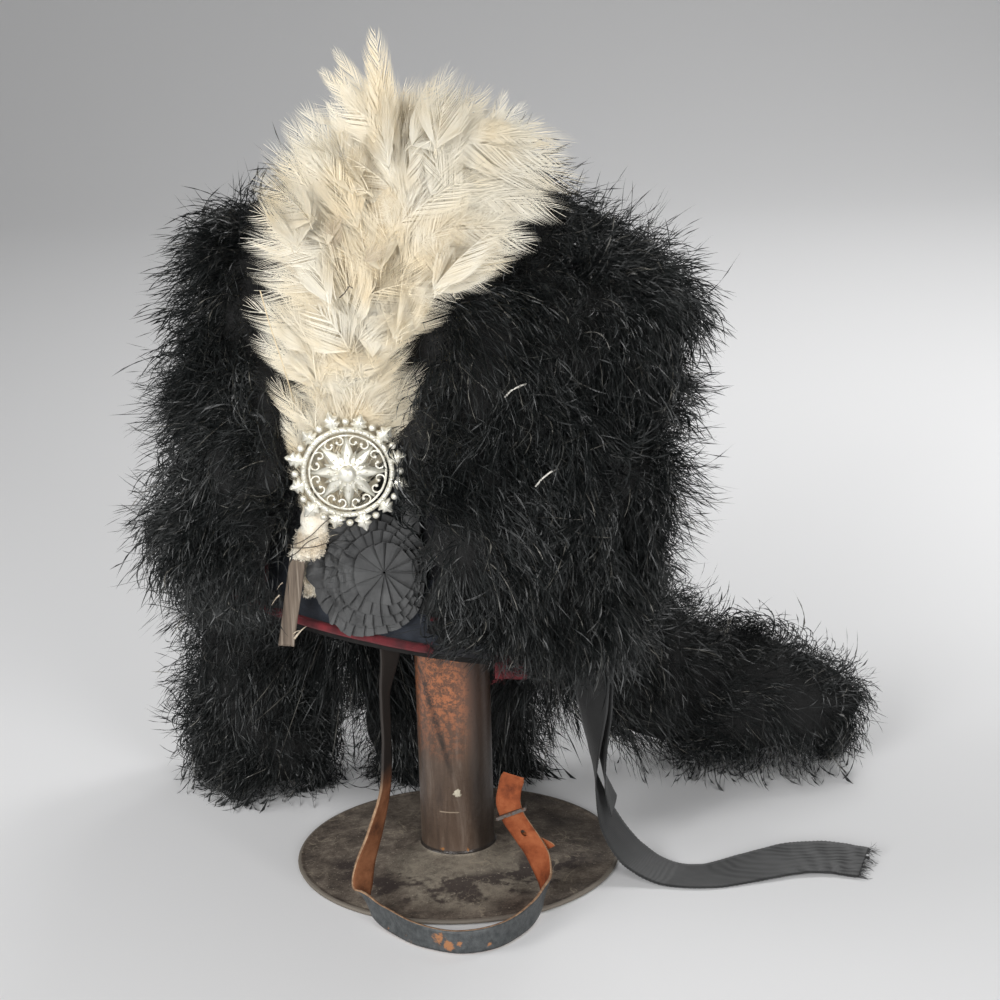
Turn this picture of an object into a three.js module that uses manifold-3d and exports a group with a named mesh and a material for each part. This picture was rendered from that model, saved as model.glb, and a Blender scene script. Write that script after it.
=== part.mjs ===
// Feather bonnet on a sheet-iron stand: a Highland bonnet of black ostrich feathers with a cream
// hackle, a pierced badge, a pleated rosette, three feather tails, a chin strap and two ribbons.
//
// Millimetres, +Z up. The origin is the centre of the stand's foot, on the surface it stands on.
// The wearer's front is -X and the back +X. The left side, with badge and hackle, faces -Y.

import * as THREE from 'three';
import { mergeVertices } from 'three/addons/utils/BufferGeometryUtils.js';
import Module from 'manifold-3d';

const wasm = await Module();
wasm.setup();

// ---------------------------------------------------------------- driving dimensions

const GAP = 0.3; // between pieces that touch
const CLEARANCE = 0.42; // step that leaves that gap beside slanting faces too
const FLOOR_CLEARANCE = 0.5; // under soft pieces that lie on the surface

const STAND = {
  footRadius: 110,
  footEdge: 3, // thickness at the foot's edge
  footLip: 3, // width of its flat lip
  shoulderRadius: 66,
  shoulderHeight: 6,
  footRise: 11, // height of the dished foot where the tube stands on it
  tubeRadius: 25,
  tubeWall: 2,
  facets: 36,
};

// The rim is an oval on a leaning plane: the bonnet sits low at the back and on its far side.
const RIM = {
  x: -39,
  y: -8,
  z: 177,
  dropToBack: 0.249, // fall in Z for each millimetre towards +X
  dropToFar: 0.141, // fall in Z for each millimetre towards +Y
  levelAt: 200, // height above the rim at which the lean has died out
};

// Horizontal sections of the crown, from the rim to its flat top. rise is the height above the rim.
const CROWN = [
  { rise: 0, x: -39, y: -8, halfLength: 110, halfWidth: 90 },
  { rise: 60, x: -33, y: -6, halfLength: 112, halfWidth: 92 },
  { rise: 140, x: -22, y: -2, halfLength: 112, halfWidth: 92 },
  { rise: 210, x: -12, y: 2, halfLength: 102, halfWidth: 86 },
  { rise: 243, x: -6, y: 4, halfLength: 76, halfWidth: 66 },
  { rise: 255, x: -4, y: 5, halfLength: 46, halfWidth: 43 },
];
const CROWN_WALL = 2.5;
const CROWN_FOOT = 1; // height of the wall's lower edge above the rim's line
const AROUND = 28; // facets round the crown and everything fitted to it

const BAND = { low: 7, high: 52, thickness: 2 };
const WELT = { low: 0, high: 6.6, thickness: 3, tornFrom: -6, tornTo: -4 }; // torn: in facets
const SWEATBAND = { low: -3.4, high: 40, thickness: 1.6 };

// Horizontal sections of the black feather body. Its lower and upper lobes meet in a waist.
const COVER = [
  { rise: 8, x: -37, y: -7, halfLength: 128, halfWidth: 108 },
  { rise: 26, x: -30, y: -5, halfLength: 164, halfWidth: 140 },
  { rise: 66, x: -21, y: -2, halfLength: 166, halfWidth: 148 },
  { rise: 116, x: -11, y: 0, halfLength: 172, halfWidth: 152 },
  { rise: 152, x: -12, y: 2, halfLength: 165, halfWidth: 148 },
  { rise: 207, x: 0, y: 4, halfLength: 171, halfWidth: 150 },
  { rise: 250, x: -5, y: 6, halfLength: 156, halfWidth: 134 },
  { rise: 282, x: -3, y: 8, halfLength: 118, halfWidth: 102 },
  { rise: 299, x: -2, y: 8, halfLength: 66, halfWidth: 58 },
];
const COVER_CREST = { from: 225, top: 305 }; // where its sides turn over into its top
const COVER_INSET = 2.7; // from the crown's face to the cover's inner face, over the band

// Rows of feather locks on the cover, each hanging from its root row towards the rim.
const COVER_LOCKS = [
  { rise: 54, count: 10, drop: 62, halfWidth: 28, lift: 6 },
  { rise: 106, count: 10, drop: 66, halfWidth: 28, lift: 13 },
  { rise: 158, count: 10, drop: 66, halfWidth: 28, lift: 13 },
  { rise: 210, count: 10, drop: 64, halfWidth: 28, lift: 12 },
  { rise: 256, count: 9, drop: 56, halfWidth: 27, lift: 13 },
  { rise: 292, count: 6, drop: 42, halfWidth: 24, lift: 15 },
];
const LOCK_THICKNESS = 7;
const LOCK_DEPTH = 9; // how far a lock's root is sunk into its backing
const LOCK_BELLY = 2.3; // how far the middle of a lock stands out of its backing
const LOCK_SWEEP = 0.07; // turn of a lock's tip round the cover, in radians
const LOCK_VARIETY = 0.11; // share by which the lengths of locks differ

// The tails hang from the far side of the cover to the floor. Sections follow each tail's middle
// line; across is its half width in the plane of the middle line, through its half width along Y.
const TAILS = {
  tail_front: [
    { x: -112, y: 94, z: 224, across: 32, through: 24 },
    { x: -132, y: 124, z: 158, across: 46, through: 38 },
    { x: -142, y: 139, z: 95, across: 53, through: 46 },
    { x: -144, y: 143, z: 40, across: 56, through: 48 },
    { x: -144, y: 143, z: 10, across: 50, through: 43 },
  ],
  tail_middle: [
    { x: -12, y: 114, z: 192, across: 40, through: 22 },
    { x: -8, y: 128, z: 128, across: 54, through: 28 },
    { x: -4, y: 141, z: 70, across: 62, through: 33 },
    { x: -3, y: 146, z: 34, across: 63, through: 35 },
    { x: -3, y: 146, z: 9, across: 57, through: 31 },
  ],
  tail_back: [
    { x: 86, y: 88, z: 200, across: 40, through: 32 },
    { x: 108, y: 116, z: 136, across: 50, through: 44 },
    { x: 134, y: 136, z: 84, across: 58, through: 52 },
    { x: 170, y: 147, z: 61, across: 58, through: 53 },
    { x: 215, y: 152, z: 55, across: 53, through: 53 },
    { x: 257, y: 157, z: 44, across: 42, through: 46 },
    { x: 286, y: 160, z: 31, across: 28, through: 32 },
  ],
};
const TAIL_AROUND = 10;
const TAIL_END = 0.35; // length of the rounded end, as a share of the last half width
// firstRoot, lastRoot and reach are shares of the tail's length.
const TAIL_LOCKS = {
  rows: 4,
  count: 4,
  firstRoot: 0.12,
  lastRoot: 0.74,
  reach: 0.28,
  halfWidth: 24,
  lift: 9,
};

// Horizontal sections of the hackle's core, from behind the badge to its fanned top.
// room is what the black feathers leave free beside it.
const PLUME = [
  { z: 290, x: -66, y: -112, halfWidth: 15, halfDepth: 8, room: 14 },
  { z: 356, x: -56, y: -112, halfWidth: 31, halfDepth: 8, room: 14 },
  { z: 384, x: -52, y: -120, halfWidth: 36, halfDepth: 14, room: 22 },
  { z: 410, x: -50, y: -129, halfWidth: 47, halfDepth: 19, room: 26 },
  { z: 436, x: -32, y: -136, halfWidth: 68, halfDepth: 21, room: 24 },
  { z: 466, x: -18, y: -138, halfWidth: 82, halfDepth: 24, room: 22 },
  { z: 500, x: -14, y: -131, halfWidth: 74, halfDepth: 27, room: 20 },
  { z: 528, x: -18, y: -125, halfWidth: 54, halfDepth: 21, room: 20 },
  { z: 548, x: -24, y: -121, halfWidth: 30, halfDepth: 12, room: 20 },
];
const PLUME_AROUND = 12;
const PLUME_LOCKS = [
  { z: 362, count: 4, rise: 48, halfWidth: 13, lift: 8 },
  { z: 402, count: 5, rise: 54, halfWidth: 16, lift: 10 },
  { z: 442, count: 7, rise: 54, halfWidth: 17, lift: 11 },
  { z: 482, count: 7, rise: 54, halfWidth: 17, lift: 11 },
  { z: 516, count: 6, rise: 52, halfWidth: 14, lift: 10 },
  { z: 542, count: 3, rise: 44, halfWidth: 11, lift: 6 },
];
const PLUME_CREST = 14; // height of the core's pointed top
const FEATHER = {
  thickness: 3.2,
  depth: 5, // of its root in the core
  belly: 2,
  spread: 7, // of the tips of feathers at the edges, away from the middle
  turn: 0.54 * Math.PI, // feathers stand on the front and reach just round both edges
};
const PLUME_BAY = {
  back: 2.5, // room behind the hackle's core
  front: 150, // reach forwards, past every lock of the cover
  overhang: 8, // how far the cover's locks may stand into the bay's sides
  lockTop: 470, // height above which the hackle stands clear of the locks
};
const BADGE_BAY = {
  side: 1.2, // room beside the stem and the rosette
  top: 1, // room above the badge
  sleeveRoom: 4.3, // room above the sleeve, where the bay cuts right through the cover
  rimDepth: 52, // from the rim's centre to the back of that deep part
  size: 200, // larger than what the bay opens
};

const SLEEVE = { x: -86, z: 255, topX: -76, topZ: 289.7, y: -113, halfWidth: 9.5, halfDepth: 6.8 };
const STEM = { x: -91, z: 254.5, footX: -101, footZ: 198, y: -113, width: 10.5, thickness: 4 };
const PLUME_CLOTH = { x: -80, y: -100.9, z: 240, width: 19, height: 26, thickness: 1.6 };

const BADGE = {
  x: -57,
  y: -123.2,
  z: 313,
  ring: 27,
  ringWire: 2.6,
  starPoints: 8,
  starWaist: 13, // radius between the star's points
  starRise: 4.5,
  starBack: 1.2,
  boss: 7,
  bossRise: 3,
  leaves: 12,
  leafTip: 40,
  leafStep: 3, // every other leaf is shorter
  leafRoot: 1.5, // depth of a leaf's foot in the ring
  leafHalfWidth: 8,
  leafThickness: 2.4,
};

// Pleated rings of the rosette, from the back to the front, each smaller and set further inwards.
const ROSETTE_TIERS = [
  { x: -48, z: 241, halfWidth: 36.5, halfHeight: 42 },
  { x: -45, z: 241, halfWidth: 30.5, halfHeight: 35 },
  { x: -42, z: 242, halfWidth: 25, halfHeight: 28 },
  { x: -38, z: 243, halfWidth: 19, halfHeight: 20.5 },
];
const ROSETTE = { y: -103.3, step: 2.6, thickness: 1.4, pleats: 20, pleatDepth: 0.5, lean: 0.03 };
const ROSETTE_TAB = { x: -21, y: -101.9, z: 282, width: 12, height: 40, thickness: 1.5 };

const STRAP_WIDTH = 15.9;
const STRAP_THICKNESS = 1.8;
// The strap's middle line, from inside the rim, round its loop on the surface, to its free end.
// turn and tilt give the heading and the slope of its width, in degrees.
const STRAP = [
  { x: -34, y: -91.7, z: 216, turn: 180, tilt: 0 },
  { x: -35, y: -89.6, z: 198, turn: -168, tilt: 0 },
  { x: -38, y: -86.5, z: 178, turn: -135, tilt: 0 },
  { x: -42, y: -86, z: 150, turn: -106, tilt: 0 },
  { x: -43, y: -86, z: 121, turn: -104, tilt: 0 },
  { x: -45, y: -88, z: 88, turn: -112, tilt: 0 },
  { x: -52, y: -89, z: 58, turn: -128, tilt: 0 },
  { x: -60, y: -88, z: 35, turn: -142, tilt: 15 },
  { x: -62, y: -93, z: 19, turn: -160, tilt: 50 },
  { x: -56, y: -104, z: 13, turn: -160, tilt: 80 },
  { x: -45, y: -118, z: 10, turn: -160, tilt: 90 },
  { x: -24, y: -140, z: 8.8, turn: -160, tilt: 90 },
  { x: 2, y: -152, z: 8.6, turn: -160, tilt: 90 },
  { x: 27, y: -143, z: 8.8, turn: -40, tilt: 90 },
  { x: 46, y: -119, z: 10, turn: -40, tilt: 90 },
  { x: 56, y: -98, z: 13.5, turn: -40, tilt: 80 },
  { x: 58, y: -81, z: 19, turn: -40, tilt: 50 },
  { x: 54, y: -71, z: 29, turn: -25, tilt: 15 },
  { x: 47, y: -68, z: 41, turn: -12, tilt: 0 },
  { x: 39, y: -68, z: 55, turn: -8, tilt: 0 },
  { x: 35, y: -69, z: 67, turn: -4, tilt: 0 },
  { x: 36, y: -66, z: 76, turn: 4, tilt: 0 },
  { x: 39, y: -62, z: 84, turn: 8, tilt: 0 },
];
const STRAP_STEPS = 48;
const BUCKLE = { along: 0.885, wire: 1.8, clearance: 1.3, depth: 2.4 };

const RIBBON_WIDTH = 38;
const RIBBON_THICKNESS = 1;
// Both ribbons are sewn to the band at the back and come out from under the feathers.
const RIBBON_LONG = [
  { x: 80.2, y: -27, z: 178, turn: -97, tilt: 0 },
  { x: 85, y: -26, z: 164, turn: -68, tilt: 0 },
  { x: 91, y: -25, z: 146, turn: -47, tilt: 0 },
  { x: 92, y: -24, z: 120, turn: -56, tilt: 0 },
  { x: 92, y: -23, z: 92, turn: -75, tilt: 0 },
  { x: 94, y: -23, z: 62, turn: -92, tilt: 0 },
  { x: 102, y: -25, z: 34, turn: -106, tilt: 0 },
  { x: 118, y: -34, z: 12, turn: -116, tilt: 0 },
  { x: 138, y: -44, z: 2.6, turn: -112, tilt: 0 },
  { x: 165, y: -49, z: 1.4, turn: -95, tilt: 0 },
  { x: 196, y: -42, z: 3.6, turn: -80, tilt: -6 },
  { x: 226, y: -34, z: 5.4, turn: -80, tilt: -12 },
  { x: 250, y: -34, z: 5.0, turn: -90, tilt: -11 },
  { x: 272, y: -41, z: 4.0, turn: -102, tilt: -8 },
];
const RIBBON_SHORT = [
  { x: 85, y: -24.5, z: 178, turn: -92, tilt: 0 },
  { x: 89, y: -22.5, z: 164, turn: -68, tilt: 0 },
  { x: 94.5, y: -21.5, z: 146, turn: -50, tilt: 0 },
  { x: 96, y: -20.5, z: 120, turn: -58, tilt: 0 },
  { x: 97, y: -20, z: 92, turn: -76, tilt: 0 },
  { x: 100, y: -20, z: 62, turn: -90, tilt: 0 },
  { x: 106, y: -21, z: 42, turn: -98, tilt: 0 },
];
const RIBBON_STEPS = 26;
const RIBBON_SLOT = 0.6; // room that the cover leaves round a ribbon

// ---------------------------------------------------------------- small helpers

const radians = THREE.MathUtils.degToRad;
const lerp = THREE.MathUtils.lerp;
const smoothstep = THREE.MathUtils.smoothstep;
const vector = (x, y, z) => new THREE.Vector3(x, y, z);

/** The row of a table at the given value of its key, with every column blended between rows. */
function rowAt(rows, key, value) {
  const last = rows.length - 1;
  let i = 0;
  while (i < last - 1 && value > rows[i + 1][key]) i += 1;
  const from = rows[i];
  const to = rows[i + 1];
  const share = (value - from[key]) / (to[key] - from[key]);
  const row = {};
  for (const column of Object.keys(from)) row[column] = lerp(from[column], to[column], share);
  return row;
}

/** A closed mesh as a solid, turned so that its faces point out. */
function toSolid(geometry) {
  const bare = geometry.clone();
  bare.deleteAttribute('normal');
  bare.deleteAttribute('uv');
  const merged = mergeVertices(bare, 1e-4);
  const corners = merged.index.array;
  const triVerts = [];
  for (let i = 0; i < corners.length; i += 3) {
    const [a, b, c] = corners.slice(i, i + 3);
    if (a !== b && b !== c && c !== a) triVerts.push(a, b, c);
  }
  const vertProperties = new Float32Array(merged.attributes.position.array);
  const build = (faces) =>
    new wasm.Manifold(
      new wasm.Mesh({ numProp: 3, vertProperties, triVerts: new Uint32Array(faces) }),
    );
  const solid = build(triVerts);
  return solid.volume() < 0 ? build(triVerts.reverse()) : solid;
}

function toGeometry(solid) {
  const { numProp, vertProperties, triVerts } = solid.getMesh();
  const positions = new Float32Array((vertProperties.length / numProp) * 3);
  for (let i = 0; i < positions.length / 3; i += 1)
    positions.set(vertProperties.subarray(i * numProp, i * numProp + 3), i * 3);
  return new THREE.BufferGeometry()
    .setAttribute('position', new THREE.BufferAttribute(positions, 3))
    .setIndex(new THREE.BufferAttribute(triVerts, 1));
}

const join = (solids) => solids.reduce((sum, solid) => sum.add(solid));
const cut = (solid, tools) => tools.reduce((rest, tool) => rest.subtract(tool), solid);

/** The largest of a solid's separate bodies: cuts between locks can leave loose crumbs. */
function largestBody(solid) {
  const bodies = solid.decompose();
  return bodies.reduce((best, body) => (body.volume() > best.volume() ? body : best));
}

/** The solid cut back from another one, with a gap on every side. */
function clearOf(solid, other) {
  const axes = [[CLEARANCE, 0, 0], [0, CLEARANCE, 0], [0, 0, CLEARANCE]];
  const back = axes.map((shift) => shift.map((step) => -step));
  const tools = [[0, 0, 0], ...axes, ...back].map((shift) => other.translate(shift));
  return largestBody(cut(solid, tools));
}

/**
 * One closed surface through a list of rings with the same number of points.
 * A ring of one point is a pole. Rings that loop join the last ring to the first.
 */
function loft(rings, loops = false) {
  const positions = [];
  const starts = rings.map((ring) => {
    const start = positions.length / 3;
    ring.forEach((point) => positions.push(point.x, point.y, point.z));
    return start;
  });
  const faces = [];
  const spans = loops ? rings.length : rings.length - 1;
  for (let i = 0; i < spans; i += 1) {
    const next = (i + 1) % rings.length;
    const count = Math.max(rings[i].length, rings[next].length);
    const near = (k) => starts[i] + (rings[i].length > 1 ? k % count : 0);
    const far = (k) => starts[next] + (rings[next].length > 1 ? k % count : 0);
    for (let k = 0; k < count; k += 1) {
      if (rings[i].length > 1) faces.push(near(k), near(k + 1), far(k));
      if (rings[next].length > 1) faces.push(near(k + 1), far(k + 1), far(k));
    }
  }
  const cap = (start, count, turned) => {
    for (let k = 1; k < count - 1; k += 1)
      faces.push(start, start + (turned ? k : k + 1), start + (turned ? k + 1 : k));
  };
  if (!loops) {
    cap(starts[0], rings[0].length, false);
    cap(starts.at(-1), rings.at(-1).length, true);
  }
  return new THREE.BufferGeometry()
    .setAttribute('position', new THREE.Float32BufferAttribute(positions, 3))
    .setIndex(faces);
}

const ringOf = (count, pointAt) =>
  Array.from({ length: count }, (_, k) => pointAt((2 * Math.PI * k) / count));

// ---------------------------------------------------------------- stand

function standGeometry(tubeTop) {
  const { footRadius, footEdge, footLip, shoulderRadius, shoulderHeight } = STAND;
  const { footRise, tubeRadius, tubeWall, facets } = STAND;
  const profile = [
    [0, 0],
    [footRadius, 0],
    [footRadius, footEdge],
    [footRadius - footLip, footEdge],
    [shoulderRadius, shoulderHeight],
    [tubeRadius, footRise],
    [tubeRadius, tubeTop],
    [tubeRadius - tubeWall, tubeTop],
    [tubeRadius - tubeWall, footRise],
    [0, footRise],
  ].map(([radius, height]) => new THREE.Vector2(radius, height));
  return new THREE.LatheGeometry(profile, facets).rotateX(Math.PI / 2);
}

// ---------------------------------------------------------------- crown and what is fitted to it

/** Height of a point of the bonnet that lies the given rise above the rim's leaning plane. */
function leaningZ(x, y, rise) {
  const lean = 1 - smoothstep(rise, 0, RIM.levelAt);
  return RIM.z + rise - lean * (RIM.dropToBack * (x - RIM.x) + RIM.dropToFar * (y - RIM.y));
}

/** A point on an oval section table, moved out by offset. */
function sectionPoint(rows, rise, angle, offset = 0) {
  const row = rowAt(rows, 'rise', rise);
  const x = row.x + (row.halfLength + offset) * Math.cos(angle);
  const y = row.y + (row.halfWidth + offset) * Math.sin(angle);
  return vector(x, y, leaningZ(x, y, rise));
}

const CROWN_HEIGHT = CROWN.at(-1).rise;

/** Rings of the crown's surface, moved out by offset, from the lower edge to the pole on top. */
function crownRings(offset, lowEdge) {
  const rises = [lowEdge, ...CROWN.slice(1).map((row) => row.rise)];
  const rings = rises.map((rise) => {
    const lifted = (offset * rise) / CROWN_HEIGHT;
    const ring = ringOf(AROUND, (angle) => sectionPoint(CROWN, rise, angle, offset));
    ring.forEach((point) => (point.z += lifted));
    return ring;
  });
  const top = CROWN.at(-1);
  return [...rings, [vector(top.x, top.y, RIM.z + CROWN_HEIGHT + offset)]];
}

function crownSolid() {
  const outside = crownRings(0, CROWN_FOOT);
  const inside = crownRings(-CROWN_WALL, CROWN_FOOT);
  return toSolid(loft([...outside.reverse(), ...inside]));
}

/** A band round the crown between two heights, from one of the crown's facets to another. */
function bandSolid({ low, high, inner, outer, from = 0, to = AROUND }) {
  const whole = to - from === AROUND;
  const corners = [[low, inner], [low, outer], [high, outer], [high, inner]];
  const rings = Array.from({ length: to - from + (whole ? 0 : 1) }, (_, k) => {
    const angle = (2 * Math.PI * (from + k)) / AROUND;
    return corners.map(([rise, offset]) => sectionPoint(CROWN, rise, angle, offset));
  });
  return toSolid(loft(rings, whole));
}

// ---------------------------------------------------------------- feather locks

/**
 * A pointed lock along a curve through three points: full behind its middle, tapering to its tip.
 * outward is the direction of its thickness.
 */
function lockSolid([root, belly, tip], outward, halfWidth, halfThickness) {
  const control = belly.clone().multiplyScalar(2).sub(root.clone().add(tip).multiplyScalar(0.5));
  const curve = new THREE.QuadraticBezierCurve3(root, control, tip);
  const stations = [
    { at: 0, size: 0.75 },
    { at: 0.55, size: 1 },
  ];
  const rings = stations.map(({ at, size }) => {
    const centre = curve.getPoint(at);
    const along = curve.getTangent(at);
    const side = along.clone().cross(outward).normalize();
    const up = side.clone().cross(along).normalize();
    return ringOf(4, (angle) =>
      centre
        .clone()
        .addScaledVector(side, size * halfWidth * Math.cos(angle))
        .addScaledVector(up, size * halfThickness * Math.sin(angle)),
    );
  });
  rings.push([tip]);
  rings.flat().forEach((point) => (point.z = Math.max(point.z, FLOOR_CLEARANCE)));
  return toSolid(loft(rings));
}

/** A steady spread between -1 and 1, so that neighbouring locks differ. */
const uneven = (k) => Math.sin(12.9898 * k + 4.1414);

// ---------------------------------------------------------------- feather cover

function coverPoint(rise, angle, offset = 0) {
  const crest = smoothstep(rise, COVER_CREST.from, COVER_CREST.top);
  const point = sectionPoint(COVER, Math.min(rise, COVER.at(-1).rise), angle, offset);
  point.z += crest * offset;
  return point;
}

function coverBacking() {
  const outside = COVER.map((row) => ringOf(AROUND, (angle) => coverPoint(row.rise, angle)));
  const top = COVER.at(-1);
  const inside = crownRings(COVER_INSET, COVER[0].rise);
  const crest = [vector(top.x, top.y, RIM.z + COVER_CREST.top)];
  return toSolid(loft([crest, ...outside.reverse(), ...inside]));
}

/** Whether a point of the cover lies where the hackle and the badge stand. */
const inPlumeBay = (point) => {
  const row = rowAt(PLUME, 'z', Math.max(point.z, PLUME[0].z));
  const reach = row.halfWidth + row.room - PLUME_BAY.overhang;
  const isLow = point.z < PLUME_BAY.lockTop;
  return isLow && point.y < 0 && Math.abs(point.x - row.x) < reach;
};

function coverLocks() {
  const locks = [];
  COVER_LOCKS.forEach((row, level) => {
    for (let k = 0; k < row.count; k += 1) {
      const angle = (2 * Math.PI * (k + 0.5 * (level % 2))) / row.count;
      const drop = row.drop * (1 + LOCK_VARIETY * uneven(7 * level + k));
      const low = Math.max(row.rise - drop, COVER[0].rise);
      const middle = (row.rise + low) / 2;
      const tip = coverPoint(low, angle + LOCK_SWEEP, row.lift);
      tip.z -= low - (row.rise - drop); // the lowest locks hang past the cover's edge
      const points = [
        coverPoint(row.rise, angle, -LOCK_DEPTH),
        coverPoint(middle, angle + LOCK_SWEEP / 2, LOCK_BELLY),
        tip,
      ];
      if (points.some(inPlumeBay)) continue;
      const outward = coverPoint(middle, angle, 10).sub(coverPoint(middle, angle, 0)).normalize();
      locks.push(lockSolid(points, outward, row.halfWidth, LOCK_THICKNESS));
    }
  });
  return locks;
}

/** The space in front of the crown that the cover leaves to the hackle. */
function plumeBaySolid() {
  const rings = PLUME.map((row) => {
    const half = row.halfWidth + row.room;
    const back = row.y + row.halfDepth + PLUME_BAY.back;
    const front = row.y - PLUME_BAY.front;
    return [
      vector(row.x - half, front, row.z),
      vector(row.x + half, front, row.z),
      vector(row.x + half, back, row.z),
      vector(row.x - half, back, row.z),
    ];
  });
  return toSolid(loft(rings));
}

/**
 * The opening below the hackle: cut right through where the band, the rosette and the stem show,
 * and only in front of the backing behind the badge.
 */
function badgeBaySolids() {
  const { side, top, size, rimDepth } = BADGE_BAY;
  const left = STEM.footX - STEM.width / 2 - side;
  const right = ROSETTE_TIERS[0].x + ROSETTE_TIERS[0].halfWidth + side;
  const bay = (ceiling, back) => {
    const box = new THREE.BoxGeometry(right - left, size, size);
    return toSolid(box.translate((left + right) / 2, back - size / 2, ceiling - size / 2));
  };
  return [
    bay(SLEEVE.topZ + BADGE_BAY.sleeveRoom, RIM.y - rimDepth),
    bay(BADGE.z + BADGE.leafTip + top, ROSETTE_TAB.y + ROSETTE_TAB.thickness / 2 + GAP),
  ];
}

function coverSolid() {
  const whole = join([coverBacking(), ...coverLocks()]);
  const slots = [RIBBON_LONG, RIBBON_SHORT].map((rows) => ribbonSolid(rows, RIBBON_SLOT));
  return largestBody(cut(whole, [plumeBaySolid(), ...badgeBaySolids(), ...slots]));
}

// ---------------------------------------------------------------- tails

/** A point on a tail: share runs from 0 at its top to 1 at its end, angle goes round it. */
function tailPoint(rows, share, angle, offset = 0) {
  const middle = new THREE.CatmullRomCurve3(rows.map((row) => vector(row.x, row.y, row.z)));
  const place = share * (rows.length - 1);
  const i = Math.min(Math.floor(place), rows.length - 2);
  const blend = (column) => lerp(rows[i][column], rows[i + 1][column], place - i);
  const along = middle.getTangent(share);
  const through = vector(0, 1, 0).addScaledVector(along, -along.y).normalize();
  const across = along.clone().cross(through);
  const point = middle
    .getPoint(share)
    .addScaledVector(across, (blend('across') + offset) * Math.cos(angle))
    .addScaledVector(through, (blend('through') + offset) * Math.sin(angle));
  point.z = Math.max(point.z, FLOOR_CLEARANCE);
  return point;
}

function tailSolid(rows, cover) {
  const shares = rows.map((_, i) => i / (rows.length - 1));
  const rings = shares.map((share) =>
    ringOf(TAIL_AROUND, (angle) => tailPoint(rows, share, angle)),
  );
  const last = rows.at(-1);
  const end = tailPoint(rows, 1, 0).lerp(tailPoint(rows, 1, Math.PI), 0.5);
  const onward = end.clone().sub(vector(rows.at(-2).x, rows.at(-2).y, rows.at(-2).z)).normalize();
  end.addScaledVector(onward, TAIL_END * last.across);
  end.z = Math.max(end.z, FLOOR_CLEARANCE);
  const parts = [toSolid(loft([...rings, [end]]))];
  const { rows: levels, count, firstRoot, lastRoot, reach, halfWidth, lift } = TAIL_LOCKS;
  for (let level = 0; level < levels; level += 1) {
    const start = lerp(firstRoot, lastRoot, level / (levels - 1));
    for (let k = 0; k < count; k += 1) {
      const angle = (2 * Math.PI * (k + 0.5 * (level % 2))) / count;
      const finish = start + reach * (1 + LOCK_VARIETY * uneven(5 * level + k));
      const middle = (start + finish) / 2;
      const points = [
        tailPoint(rows, start, angle, -LOCK_DEPTH),
        tailPoint(rows, middle, angle, LOCK_BELLY),
        tailPoint(rows, Math.min(finish, 1), angle, lift),
      ];
      const outward = tailPoint(rows, middle, angle, 10)
        .sub(tailPoint(rows, middle, angle))
        .normalize();
      parts.push(lockSolid(points, outward, halfWidth, LOCK_THICKNESS));
    }
  }
  return clearOf(join(parts), cover);
}

// ---------------------------------------------------------------- hackle

function plumePoint(z, angle, offset = 0) {
  const row = rowAt(PLUME, 'z', z);
  return vector(
    row.x + (row.halfWidth + offset) * Math.cos(angle),
    row.y + (row.halfDepth + offset) * Math.sin(angle),
    z,
  );
}

function plumeSolid() {
  const rings = PLUME.map((row) => ringOf(PLUME_AROUND, (angle) => plumePoint(row.z, angle)));
  const top = PLUME.at(-1);
  const parts = [toSolid(loft([...rings, [vector(top.x, top.y, top.z + PLUME_CREST)]]))];
  PLUME_LOCKS.forEach((row, level) => {
    for (let k = 0; k < row.count; k += 1) {
      const share = (k + 0.5) / row.count;
      const angle = lerp(-FEATHER.turn, FEATHER.turn, share) - Math.PI / 2;
      const half = (row.rise / 2) * (1 + LOCK_VARIETY * uneven(3 * level + k));
      const spread = FEATHER.spread * Math.cos(angle);
      const points = [
        plumePoint(row.z, angle, -FEATHER.depth),
        plumePoint(row.z + half, angle, FEATHER.belly).add(vector(spread / 2, 0, 0)),
        plumePoint(row.z + half, angle, row.lift).add(vector(spread, 0, half)),
      ];
      const outward = vector(Math.cos(angle), 2 * Math.sin(angle) - 1, 0).normalize();
      parts.push(lockSolid(points, outward, row.halfWidth, FEATHER.thickness));
    }
  });
  return join(parts);
}

function sleeveSolid() {
  const { x, z, topX, topZ, y, halfWidth, halfDepth } = SLEEVE;
  const sections = [
    { share: 0, size: 0.82 },
    { share: 0.35, size: 1.05 },
    { share: 0.6, size: 0.95 },
    { share: 1, size: 1 },
  ];
  const rings = sections.map(({ share, size }) =>
    ringOf(14, (angle) =>
      vector(
        lerp(x, topX, share) + size * halfWidth * Math.cos(angle),
        y + size * halfDepth * Math.sin(angle),
        lerp(z, topZ, share),
      ),
    ),
  );
  return toSolid(loft(rings));
}

/** A flat stick or scrap between two heights, with its edges parallel to Y. */
function slatSolid({ x, footX, z, footZ, y, width, thickness }) {
  const section = (middleX, height) => [
    vector(middleX - width / 2, y - thickness / 2, height),
    vector(middleX + width / 2, y - thickness / 2, height),
    vector(middleX + width / 2, y + thickness / 2, height),
    vector(middleX - width / 2, y + thickness / 2, height),
  ];
  return toSolid(loft([section(footX, footZ), section(x, z)]));
}

// ---------------------------------------------------------------- badge

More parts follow.
